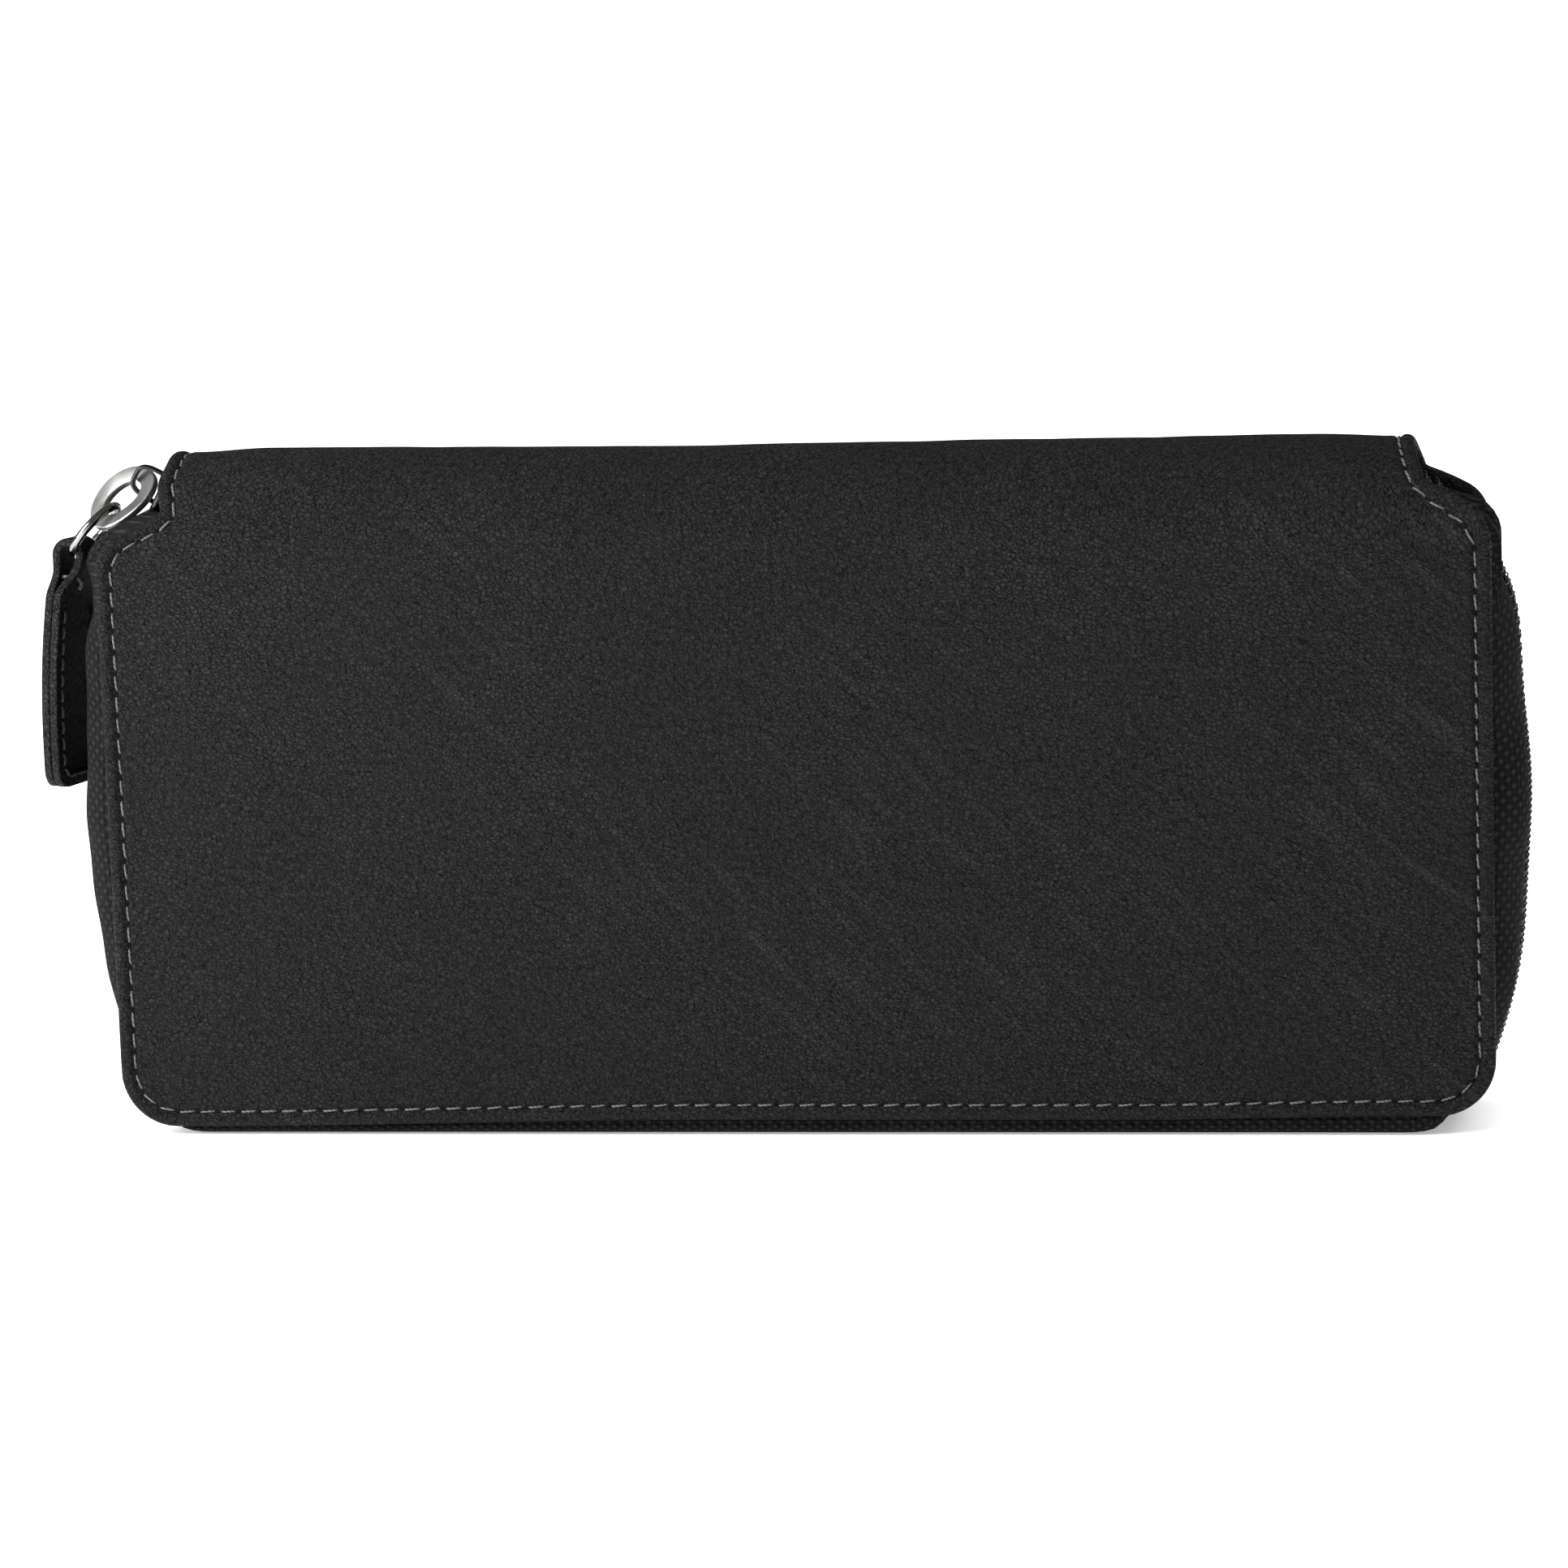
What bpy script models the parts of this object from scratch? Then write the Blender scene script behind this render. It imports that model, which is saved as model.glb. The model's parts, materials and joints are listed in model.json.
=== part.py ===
"""Zip-around long wallet, standing on its long zip edge with the folded spine on top.

Frame: +X along the wallet towards the end without the slider, -Y the front cover,
+Z up. The origin is on the floor, under the middle of the spine.
Lengths are in millimetres and turned into metres when a mesh is made.
"""
import math

import bmesh
import bpy
from mathutils import Vector

MM = 0.001

# Covers: two panels and the half-round spine between them
SPINE_RADIUS = 13.0
SPINE_CENTRE_Z = 82.0
COVER_HALF_WIDTH = 96.5
SPINE_HALF_WIDTH = 87.0
COVER_BOTTOM_Z = 2.0
COVER_CORNER = 8.0
TOP_CORNER_Z = 77.0
TOP_SLOPE_DEG = 32.0
NOTCH_DEG = 33.0
SPINE_START_DEG = 34.5
LEATHER = 1.2

# Layers inside a panel: depth under the leather's outer face, and thickness
BOARD = (1.5, 0.8)
LINING = (2.6, 0.4)
POCKET_DEPTHS = (3.3, 4.0, 4.7)
POCKET_THICK = 0.5
BOARD_BOX = (86.0, 10.0, 78.0, 12.0)
LINING_BOX = (90.0, 6.5, 79.5, 10.0)
POCKET_HALF_WIDTH = 85.0
POCKET_GUTTER = 1.5
POCKET_BOTTOM_Z = 10.5
POCKET_TOP_Z = 74.0
POCKET_STEP = 11.0
POCKET_CORNER = 3.0

# Zip: the outer line of the chain is one large arc at each end, a small corner arc and
# the floor line; a section point is (y, depth inwards from that line)
ARC_CENTRE_X = 10.4
ARC_CENTRE_Z = 41.0
ARC_RADIUS = 91.7
CORNER_RADIUS = 12.0
ARC_STEPS = 14
CORNER_STEPS = 6
CHAIN_TOP_DEG = 147.0
CHAIN_DEPTH = 2.4
FRONT_RAIL = (-3.0, -1.4)
BACK_RAIL = (-0.2, 3.0)
TAPE_SECTION = ((3.3, 0.0), (7.0, 0.0), (9.6, 1.6), (11.5, 4.2), (11.5, 9.5),
                (10.9, 9.5), (10.9, 4.6), (9.1, 2.4), (6.7, 0.8), (3.3, 0.8))
LAYER_GAP = 0.3

# Slider on the zip's upper left end, its crown and what hangs from it
SLIDER_DEG = 149.0
SLIDER_LENGTH = 8.0
CHAIN_CLEAR_DEG = 4.6   # the back chain starts this far past the slider, clear of its swing
SLIDER_HALF_WIDTH = 3.6
SLIDER_FIN = (-1.1, -0.5)
SLIDER_DEPTHS = (-1.6, -0.3, 2.7, 3.7)
CROWN_HALF_LENGTH = 3.8
CROWN_HALF_WIDTH = 0.8
CROWN_WALL = 0.7
CROWN_DEPTHS = (-1.9, -5.7, -6.6)
TAB_SEAT = 1.6     # how far up from the middle of the crown the tab hangs
TAB_LENGTH = 11.4
TAB_WIDTH = 10.0
TAB_RIM = 2.1
TAB_THICK = 1.1
TAB_DIP_DEG = 33.0
TAB_ROLL_DEG = 34.0
RING_RADIUS = 4.5
RING_ROD = 0.62
RING_DIP_DEG = 48.0
RING_ROLL_DEG = -6.0
RING_SLACK = 1.4
PULL_LENGTH = 33.0
PULL_HALF_WIDTH = 6.0
PULL_NECK = 2.2
PULL_SHOULDER = 5.5
PULL_STRIP = 1.05
PULL_EYE = 2.1
PULL_LEAN_DEG = 4.6
PULL_TWIST_DEG = 12.0

# Coin page hanging from the spine between the two panels
PAGE_HALF_WIDTH = 83.2
PAGE_WALL_Y = (2.3, 2.9)
PAGE_BOTTOM_Z = 24.0
PAGE_TOP_Z = 87.0
HEADER_TOP_Z = 92.6
HEADER_HALF_WIDTH = 81.0
COIN_RAIL_Y = (0.7, 2.7)
COIN_RAIL_Z = (20.4, 23.4)
COIN_SLIDER_X = -74.0
COIN_SLIDER_HALF = 4.0
COIN_PULL_LENGTH = 9.0


def clear_scene():
    for obj in list(bpy.data.objects):
        bpy.data.objects.remove(obj, do_unlink=True)


def material(name, colour, roughness, metallic=0.0):
    mat = bpy.data.materials.new(name)
    mat.use_nodes = True
    shader = mat.node_tree.nodes["Principled BSDF"]
    shader.inputs["Base Color"].default_value = (*colour, 1.0)
    shader.inputs["Roughness"].default_value = roughness
    shader.inputs["Metallic"].default_value = metallic
    return mat


def pivot(name, point, parent=None):
    """An empty on a joint's axis, which carries the pieces that move with that joint."""
    empty = bpy.data.objects.new(name, None)
    bpy.context.collection.objects.link(empty)
    empty.empty_display_size = 0.01
    empty["at"] = point
    empty.parent = parent
    base = Vector(parent["at"]) if parent else Vector((0, 0, 0))
    empty.location = (Vector(point) - base) * MM
    return empty


def piece(name, verts, faces, mat, carrier=None, smooth_deg=None):
    """One closed solid in its own object, with its origin at its carrier's pivot."""
    origin = Vector(carrier["at"]) if carrier else Vector((0, 0, 0))
    mesh = bpy.data.meshes.new(name)
    mesh.from_pydata([(Vector(v) - origin) * MM for v in verts], [], faces)
    work = bmesh.new()
    work.from_mesh(mesh)
    bmesh.ops.recalc_face_normals(work, faces=work.faces[:])
    if work.calc_volume(signed=True) < 0:
        bmesh.ops.reverse_faces(work, faces=work.faces[:])
    work.to_mesh(mesh)
    work.free()
    if smooth_deg:
        mesh.shade_smooth()
        mesh.set_sharp_from_angle(angle=math.radians(smooth_deg))
    mesh.materials.append(mat)
    obj = bpy.data.objects.new(name, mesh)
    bpy.context.collection.objects.link(obj)
    obj.parent = carrier
    return obj


def loft(rings, closed=False):
    """Vertices and faces of a tube through equal rings; an open one gets end caps."""
    count = len(rings[0])
    verts = [point for ring in rings for point in ring]
    spans = len(rings) if closed else len(rings) - 1
    faces = []
    for i in range(spans):
        a = i * count
        b = ((i + 1) % len(rings)) * count
        for j in range(count):
            k = (j + 1) % count
            faces.append((a + j, a + k, b + k, b + j))
    if not closed:
        faces.append(tuple(range(count)))
        faces.append(tuple(range(len(verts) - count, len(verts))))
    return verts, faces


def plate(outline, y_low, y_high):
    """A flat sheet: an outline in X and Z, between two Y planes."""
    rings = [[(x, y, z) for x, z in outline] for y in (y_low, y_high)]
    return loft(rings)


def rounded_box(x_low, x_high, z_low, z_high, top_radius, low_radius=2.0, steps=4):
    """Outline of a rectangle in X and Z with rounded corners."""
    corners = ((x_low, z_low, 180, low_radius), (x_high, z_low, 270, low_radius),
               (x_high, z_high, 0, top_radius), (x_low, z_high, 90, top_radius))
    outline = []
    for x, z, start, radius in corners:
        inward_x = 1 if x == x_low else -1
        inward_z = 1 if z == z_low else -1
        for i in range(steps + 1):
            turn = math.radians(start + 90 * i / steps)
            outline.append((x + radius * (inward_x + math.cos(turn)),
                            z + radius * (inward_z + math.sin(turn))))
    return outline


def cover_half_width(s):
    """Half width of a panel at the height s above its lower edge, along the leather."""
    if s < COVER_CORNER:
        rise = COVER_CORNER - s
        return COVER_HALF_WIDTH - COVER_CORNER + math.sqrt(COVER_CORNER ** 2 - rise ** 2)
    rise = s - (TOP_CORNER_Z - COVER_BOTTOM_Z)
    slope = math.radians(TOP_SLOPE_DEG)
    arc_end = COVER_CORNER * math.cos(slope)
    if rise <= 0:
        return COVER_HALF_WIDTH
    if rise < arc_end:
        return COVER_HALF_WIDTH - COVER_CORNER + math.sqrt(COVER_CORNER ** 2 - rise ** 2)
    arc_x = COVER_HALF_WIDTH - COVER_CORNER + COVER_CORNER * math.sin(slope)
    return arc_x - (rise - arc_end) / math.tan(slope)


def cover_point(s, depth, side):
    """Y and Z at the height s along a panel, at a depth under its outer face."""
    straight = SPINE_CENTRE_Z - COVER_BOTTOM_Z
    if s <= straight:
        return side * (SPINE_RADIUS - depth), COVER_BOTTOM_Z + s
    turn = (s - straight) / SPINE_RADIUS
    radius = SPINE_RADIUS - depth
    return side * radius * math.cos(turn), SPINE_CENTRE_Z + radius * math.sin(turn)


def cover_heights():
    """Heights along a panel where its outline or its curve needs a row of points."""
    notch = SPINE_CENTRE_Z - COVER_BOTTOM_Z + SPINE_RADIUS * math.radians(NOTCH_DEG)
    low = [COVER_CORNER * (1 - math.cos(math.radians(a))) for a in (8, 20, 35, 50, 70, 90)]
    corner = TOP_CORNER_Z - COVER_BOTTOM_Z
    turns = (0, 15, 30, 40, 50, 90 - TOP_SLOPE_DEG)
    top = [corner + COVER_CORNER * math.sin(math.radians(a)) for a in turns]
    last = top[-1]
    return low + top + [last + (notch - last) * f for f in (0.35, 0.7, 1.0)]


def cover_panel(side):
    rings = []
    for s in cover_heights():
        half = max(cover_half_width(s), SPINE_HALF_WIDTH)
        outer = cover_point(s, 0, side)
        inner = cover_point(s, LEATHER, side)
        rings.append([(-half, *outer), (half, *outer), (half, *inner), (-half, *inner)])
    return loft(rings)


def spine_shell(half_width, depth, thick, start_deg, steps=16):
    rings = []
    for i in range(steps + 1):
        turn = math.radians(start_deg + (180 - 2 * start_deg) * i / steps)
        rows = []
        for radius in (SPINE_RADIUS - depth, SPINE_RADIUS - depth - thick):
            rows.append((-radius * math.cos(turn), SPINE_CENTRE_Z + radius * math.sin(turn)))
        outer, inner = rows
        rings.append([(-half_width, *outer), (half_width, *outer),
                      (half_width, *inner), (-half_width, *inner)])
    return loft(rings)


def zip_station(centre_x, centre_z, radius, degrees):
    """A point of the chain's outer line and its outward direction in X and Z."""
    turn = math.radians(degrees)
    out = (math.cos(turn), math.sin(turn))
    return centre_x + radius * out[0], centre_z + radius * out[1], out[0], out[1]


def zip_path(left_start_deg):
    """Stations from the upper left end, round the bottom, to the upper right end."""
    drop = ARC_CENTRE_Z - CORNER_RADIUS
    reach = ARC_RADIUS - CORNER_RADIUS
    sink = math.degrees(math.asin(drop / reach))
    corner_x = ARC_CENTRE_X + reach * math.cos(math.radians(sink))
    path = []
    for i in range(ARC_STEPS + 1):
        turn = left_start_deg + (180 + sink - left_start_deg) * i / ARC_STEPS
        path.append(zip_station(-ARC_CENTRE_X, ARC_CENTRE_Z, ARC_RADIUS, turn))
    for i in range(1, CORNER_STEPS + 1):
        turn = 180 + sink + (90 - sink) * i / CORNER_STEPS
        path.append(zip_station(-corner_x, CORNER_RADIUS, CORNER_RADIUS, turn))
    for i in range(CORNER_STEPS):
        turn = 270 + (90 - sink) * i / CORNER_STEPS
        path.append(zip_station(corner_x, CORNER_RADIUS, CORNER_RADIUS, turn))
    for i in range(ARC_STEPS + 1):
        turn = -sink + (180 - CHAIN_TOP_DEG + sink) * i / ARC_STEPS
        path.append(zip_station(ARC_CENTRE_X, ARC_CENTRE_Z, ARC_RADIUS, turn))
    return path


def under_cover(y, z):
    """Draw the tape in where the panel above it curves into the spine."""
    if y < SLIDER_HALF_WIDTH or z <= SPINE_CENTRE_Z:
        return y
    rise = (z - SPINE_CENTRE_Z) / (SPINE_RADIUS - BOARD[0])
    return y * math.sqrt(1 - rise ** 2)


def zip_sweep(path, section, side=1):
    rings = []
    for x, z, out_x, out_z in path:
        ring = []
        for y, depth in section:
            height = z - depth * out_z
            ring.append((x - depth * out_x, side * under_cover(y, height), height))
        rings.append(ring)
    return loft(rings)


def rail_section(rail):
    return [(rail[0], 0), (rail[1], 0), (rail[1], CHAIN_DEPTH), (rail[0], CHAIN_DEPTH)]


def panel_layers(prefix, side, mats, carrier):
    """Leather, board, lining and zip half of one panel; side is -1 front, +1 back."""
    piece("outer_" + prefix, *cover_panel(side), mats["leather"], carrier, 30)
    for name, box, layer, mat in (("board", BOARD_BOX, BOARD, "board"),
                                  ("lining", LINING_BOX, LINING, "lining")):
        half, low, high, radius = box
        outline = rounded_box(-half, half, low, high, radius)
        outer = side * (SPINE_RADIUS - layer[0])
        inner = side * (SPINE_RADIUS - layer[0] - layer[1])
        solid = plate(outline, min(outer, inner), max(outer, inner))
        piece(prefix + "_" + name, *solid, mats[mat], carrier)


def pocket(name, side, layer, x_range, top_z, mat, carrier):
    """One flat pocket sheet, open along its upper edge, towards the spine."""
    outline = rounded_box(*x_range, POCKET_BOTTOM_Z, top_z, POCKET_CORNER, POCKET_CORNER)
    outer = side * (SPINE_RADIUS - POCKET_DEPTHS[layer])
    inner = outer - side * POCKET_THICK
    piece(name, *plate(outline, min(outer, inner), max(outer, inner)), mat, carrier)


def card_columns(prefix, side, first_layer, mat, carrier):
    """Two columns of stepped card pockets, the lowest step nearest the middle page."""
    columns = (("left", (-POCKET_HALF_WIDTH, -POCKET_GUTTER)),
               ("right", (POCKET_GUTTER, POCKET_HALF_WIDTH)))
    for column, x_range in columns:
        for layer in range(first_layer, len(POCKET_DEPTHS)):
            name = f"{prefix}_slot_{column}_{layer + 1 - first_layer}"
            top_z = POCKET_TOP_Z - POCKET_STEP * layer
            pocket(name, side, layer, x_range, top_z, mat, carrier)


def back_half(mats):
    panel_layers("back", 1, mats, None)
    cut = math.degrees(SLIDER_LENGTH / 2 / ARC_RADIUS)
    tape_path = zip_path(SLIDER_DEG + cut + 1.0)
    piece("back_tape", *zip_sweep(tape_path, TAPE_SECTION, 1), mats["tape"], None)
    chain_path = zip_path(SLIDER_DEG + cut + CHAIN_CLEAR_DEG)
    rail = rail_section(BACK_RAIL)
    piece("back_chain", *zip_sweep(chain_path, rail), mats["chain"], None)
    half = (-POCKET_HALF_WIDTH, POCKET_HALF_WIDTH)
    pocket("back_bill_pocket", 1, 0, half, POCKET_TOP_Z, mats["leather"], None)
    card_columns("back", 1, 1, mats["leather"], None)


def front_half(mats, carrier):
    panel_layers("front", -1, mats, carrier)
    path = zip_path(CHAIN_TOP_DEG)
    piece("front_tape", *zip_sweep(path, TAPE_SECTION, -1), mats["tape"], carrier)
    piece("front_chain", *zip_sweep(path, rail_section(FRONT_RAIL)), mats["chain"], carrier)
    card_columns("front", -1, 0, mats["leather"], carrier)


def coin_page(mats, carrier):
    """Flat zipped pouch that hangs from the spine between the two panels."""
    low, high = PAGE_WALL_Y
    wall = rounded_box(-PAGE_HALF_WIDTH, PAGE_HALF_WIDTH, PAGE_BOTTOM_Z, PAGE_TOP_Z, 2.0)
    piece("coin_wall_front", *plate(wall, -high, -low), mats["lining"], carrier)
    piece("coin_wall_back", *plate(wall, low, high), mats["lining"], carrier)
    header = rounded_box(-HEADER_HALF_WIDTH, HEADER_HALF_WIDTH, PAGE_TOP_Z + LAYER_GAP,
                         HEADER_TOP_Z, 1.0, 1.0)
    piece("coin_header", *plate(header, -high, high), mats["lining"], carrier)
    gusset_y = low - LAYER_GAP
    for name, sign in (("left", -1), ("right", 1)):
        edges = sorted((sign * (PAGE_HALF_WIDTH - 3.0), sign * (PAGE_HALF_WIDTH - 0.5)))
        outline = rounded_box(*edges, PAGE_BOTTOM_Z + 1, PAGE_TOP_Z - 1, 0.5, 0.5, 2)
        solid = plate(outline, -gusset_y, gusset_y)
        piece("coin_gusset_" + name, *solid, mats["lining"], carrier)
    rail = rounded_box(-PAGE_HALF_WIDTH + 1, PAGE_HALF_WIDTH - 1, *COIN_RAIL_Z, 0.4, 0.4, 1)
    near, far = COIN_RAIL_Y
    piece("coin_chain_front", *plate(rail, -far, -near), mats["chain"], carrier)
    piece("coin_chain_back", *plate(rail, near, far), mats["chain"], carrier)


def slab_profile(half_width, fin, levels):
    """Section of a slider: two plates joined by a thin fin, as (y, level) points."""
    low, low_in, high_in, high = levels
    return [(-half_width, low), (half_width, low), (half_width, low_in), (fin[1], low_in),
            (fin[1], high_in), (half_width, high_in), (half_width, high),
            (-half_width, high), (-half_width, high_in), (fin[0], high_in),
            (fin[0], low_in), (-half_width, low_in)]


def coin_slider(mats, carrier):
    low, high = COIN_RAIL_Z
    levels = (low - 1.3, low - LAYER_GAP, high + LAYER_GAP, high + 1.2)
    section = slab_profile(1.9, (-0.35, 0.35), levels)
    ends = (COIN_SLIDER_X - COIN_SLIDER_HALF, COIN_SLIDER_X + COIN_SLIDER_HALF)
    rings = [[(x, y, z) for y, z in section] for x in ends]
    piece("coin_slider", *loft(rings), mats["metal"], carrier)


def coin_pull(mats, carrier):
    """A small tab with a hole, hanging under the coin slider."""
    x, _, top = carrier["at"]
    outline = rounded_box(x - 2.0, x + 2.0, top - COIN_PULL_LENGTH, top - 0.4, 1.0, 1.9)
    piece("coin_pull", *plate(outline, -0.5, 0.5), mats["metal"], carrier)


def local_frame(degrees):
    """Point, tangent (downwards) and outward normal of the zip at an angle."""
    x, z, out_x, out_z = zip_station(-ARC_CENTRE_X, ARC_CENTRE_Z, ARC_RADIUS, degrees)
    normal = Vector((out_x, 0, out_z))
    along = Vector((-out_z, 0, out_x))
    return Vector((x, 0, z)), along, normal


def slider(mats, carrier):
    point, along, normal = local_frame(SLIDER_DEG)
    section = slab_profile(SLIDER_HALF_WIDTH, SLIDER_FIN, SLIDER_DEPTHS)
    rings = []
    for end in (-SLIDER_LENGTH / 2, SLIDER_LENGTH / 2):
        base = point + along * end
        rings.append([base - normal * depth + Vector((0, y, 0)) for y, depth in section])
    piece("slider_body", *loft(rings), mats["metal"], carrier)
    foot, arch, crest = CROWN_DEPTHS
    outer, inner = CROWN_HALF_LENGTH, CROWN_HALF_LENGTH - CROWN_WALL
    shape = [(-outer, foot), (-outer, arch), (-inner, crest), (inner, crest),
             (outer, arch), (outer, foot), (inner, foot), (inner, arch + 0.3),
             (inner - 0.6, arch), (-inner + 0.6, arch), (-inner, arch + 0.3), (-inner, foot)]
    rings = []
    for y in (-CROWN_HALF_WIDTH, CROWN_HALF_WIDTH):
        rings.append([point + along * t - normal * depth + Vector((0, y, 0))
                      for t, depth in shape])
    piece("slider_crown", *loft(rings), mats["metal"], carrier)


def dipped_axes(dip_deg, roll_deg):
    """Axes of a flat link that points down to the left and is rolled about its length."""
    dip = math.radians(dip_deg)
    roll = math.radians(roll_deg)
    along = Vector((-math.cos(dip), 0, -math.sin(dip)))
    lift = Vector((-math.sin(dip), 0, math.cos(dip)))
    across = Vector((0, math.cos(roll), 0)) + lift * math.sin(roll)
    return along, across, along.cross(across).normalized()


def pull_tab(mats, carrier):
    """Flat oval ring; its upper bar lies on the pivot, inside the crown."""
    along, across, normal = dipped_axes(TAB_DIP_DEG, TAB_ROLL_DEG)
    centre = Vector(carrier["at"]) + along * (TAB_LENGTH - TAB_RIM) / 2
    rings = []
    steps = 28
    for i in range(steps):
        turn = math.tau * i / steps
        ring = []
        for inset, height in ((0, -1), (0, 1), (TAB_RIM, 1), (TAB_RIM, -1)):
            reach = (TAB_LENGTH / 2 - inset) * math.cos(turn)
            width = (TAB_WIDTH / 2 - inset) * math.sin(turn)
            ring.append(centre + along * reach + across * width
                        + normal * height * TAB_THICK / 2)
        rings.append(ring)
    piece("pull_tab", *loft(rings, closed=True), mats["metal"], carrier, 30)


def wire_ring(mats, carrier):
    along, across, normal = dipped_axes(RING_DIP_DEG, RING_ROLL_DEG)
    centre = Vector(carrier["at"]) + along * RING_RADIUS
    rings = []
    steps = 24
    for i in range(steps):
        turn = math.tau * i / steps
        out = along * math.cos(turn) + across * math.sin(turn)
        ring = []
        for k in range(8):
            rod = math.tau * k / 8
            ring.append(centre + out * (RING_RADIUS + RING_ROD * math.cos(rod))
                        + normal * RING_ROD * math.sin(rod))
        rings.append(ring)
    piece("wire_ring", *loft(rings, closed=True), mats["dark_metal"], carrier, 60)


def pull_centreline():
    """The folded strip's middle line as (sideways, down, half width), end to end."""
    half_pair = PULL_STRIP / 2 + 0.12
    eye = PULL_EYE + PULL_STRIP / 2
    drops = (PULL_LENGTH, PULL_LENGTH - 0.9, PULL_LENGTH - 2.6, 2 * PULL_SHOULDER,
             PULL_SHOULDER + 1.5, PULL_SHOULDER)
    widths = (PULL_HALF_WIDTH - 2.6, PULL_HALF_WIDTH - 0.9, PULL_HALF_WIDTH,
              PULL_HALF_WIDTH, PULL_HALF_WIDTH - 0.8, PULL_NECK + 0.7)
    down = list(zip(drops, widths))
    left = [(-half_pair, drop, width) for drop, width in down]
    loop = [(-half_pair - 0.1, PULL_SHOULDER - 1.2, PULL_NECK)]
    for i in range(13):
        turn = math.radians(230 - 280 * i / 12)
        loop.append((eye * math.cos(turn), -eye * math.sin(turn), PULL_NECK))
    loop.append((half_pair + 0.1, PULL_SHOULDER - 1.2, PULL_NECK))
    right = [(half_pair, drop, width) for drop, width in reversed(down)]
    return left + loop + right


def leather_pull(mats, carrier):
    """One leather strip folded over the wire ring, its two halves sewn together."""
    line = pull_centreline()
    origin = Vector(carrier["at"])
    lean = math.radians(PULL_LEAN_DEG)
    twist = math.radians(PULL_TWIST_DEG)
    rings = []
    for i, (side, drop, half) in enumerate(line):
        before = line[max(i - 1, 0)]
        after = line[min(i + 1, len(line) - 1)]
        step = Vector((after[0] - before[0], after[1] - before[1])).normalized()
        ring = []
        for edge, offset in ((-half, -1), (half, -1), (half, 1), (-half, 1)):
            across = side + step.y * offset * PULL_STRIP / 2
            low = drop - step.x * offset * PULL_STRIP / 2
            x = across * math.cos(twist) + edge * math.sin(twist)
            y = edge * math.cos(twist) - across * math.sin(twist)
            ring.append(origin + Vector((x * math.cos(lean) - low * math.sin(lean), y,
                                         -low * math.cos(lean) - x * math.sin(lean))))
        rings.append(ring)
    piece("leather_pull", *loft(rings), mats["leather"], carrier, 40)


def make_materials():
    return {
        "leather": material("black_leather", (0.030, 0.030, 0.031), 0.55),
        "board": material("stiffener_board", (0.20, 0.18, 0.15), 0.90),
        "lining": material("black_lining", (0.022, 0.022, 0.024), 0.80),
        "tape": material("zip_tape", (0.014, 0.014, 0.015), 0.85),
        "chain": material("zip_coil", (0.020, 0.020, 0.021), 0.35),
        "metal": material("satin_nickel", (0.60, 0.59, 0.57), 0.30, 1.0),
        "dark_metal": material("dark_nickel", (0.28, 0.27, 0.26), 0.25, 1.0),
    }


def fold_point(side):
    """Hinge line of a panel: the leather's outer face at the end of the spine."""
    turn = math.radians(NOTCH_DEG)
    return (0.0, side * SPINE_RADIUS * math.cos(turn),
            SPINE_CENTRE_Z + SPINE_RADIUS * math.sin(turn))


def build():
    clear_scene()
    mats = make_materials()
    back_fold = pivot("back_fold_axis", fold_point(1))
    front_fold = pivot("front_fold_axis", fold_point(-1), back_fold)
    travel = pivot("slider_arc_centre", (-ARC_CENTRE_X, 0.0, ARC_CENTRE_Z), front_fold)

    back_half(mats)
    shell = spine_shell(SPINE_HALF_WIDTH, 0.0, LEATHER, SPINE_START_DEG)
    piece("outer_spine", *shell, mats["leather"], back_fold, 30)
    inner = spine_shell(PAGE_HALF_WIDTH, BOARD[0], LINING[1], SPINE_START_DEG + 2.0)
    piece("spine_lining", *inner, mats["lining"], back_fold, 30)
    coin_page(mats, back_fold)
    coin_travel = pivot("coin_slider_axis", (COIN_SLIDER_X, 0.0, COIN_RAIL_Z[0]), back_fold)
    coin_slider(mats, coin_travel)
    coin_swing = pivot("coin_pull_axis", (COIN_SLIDER_X, 0.0, COIN_RAIL_Z[0] - 2.0),
                       coin_travel)
    coin_pull(mats, coin_swing)

    front_half(mats, front_fold)
    slider(mats, travel)
    point, along, normal = local_frame(SLIDER_DEG)
    tab_at = point + normal * (-CROWN_DEPTHS[0] - CROWN_DEPTHS[1]) / 2 - along * TAB_SEAT
    tab_swing = pivot("pull_tab_axis", tuple(tab_at), travel)
    pull_tab(mats, tab_swing)
    tab_along, _, _ = dipped_axes(TAB_DIP_DEG, TAB_ROLL_DEG)
    ring_reach = TAB_LENGTH - 1.5 * TAB_RIM - RING_ROD - RING_SLACK
    ring_swing = pivot("wire_ring_axis", tuple(tab_at + tab_along * ring_reach), tab_swing)
    wire_ring(mats, ring_swing)
    ring_along, _, _ = dipped_axes(RING_DIP_DEG, RING_ROLL_DEG)
    pull_at = Vector(ring_swing["at"]) + ring_along * 2 * RING_RADIUS
    pull_swing = pivot("leather_pull_axis", tuple(pull_at), ring_swing)
    leather_pull(mats, pull_swing)


build()
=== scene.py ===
"""Looks of the zip-around long wallet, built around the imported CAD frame.

Lengths in this file are millimetres, turned into metres when a mesh is made.
"""
import json
import math
import random

import bmesh
import bpy
import numpy as np
from mathutils import Matrix, Vector, noise


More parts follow.
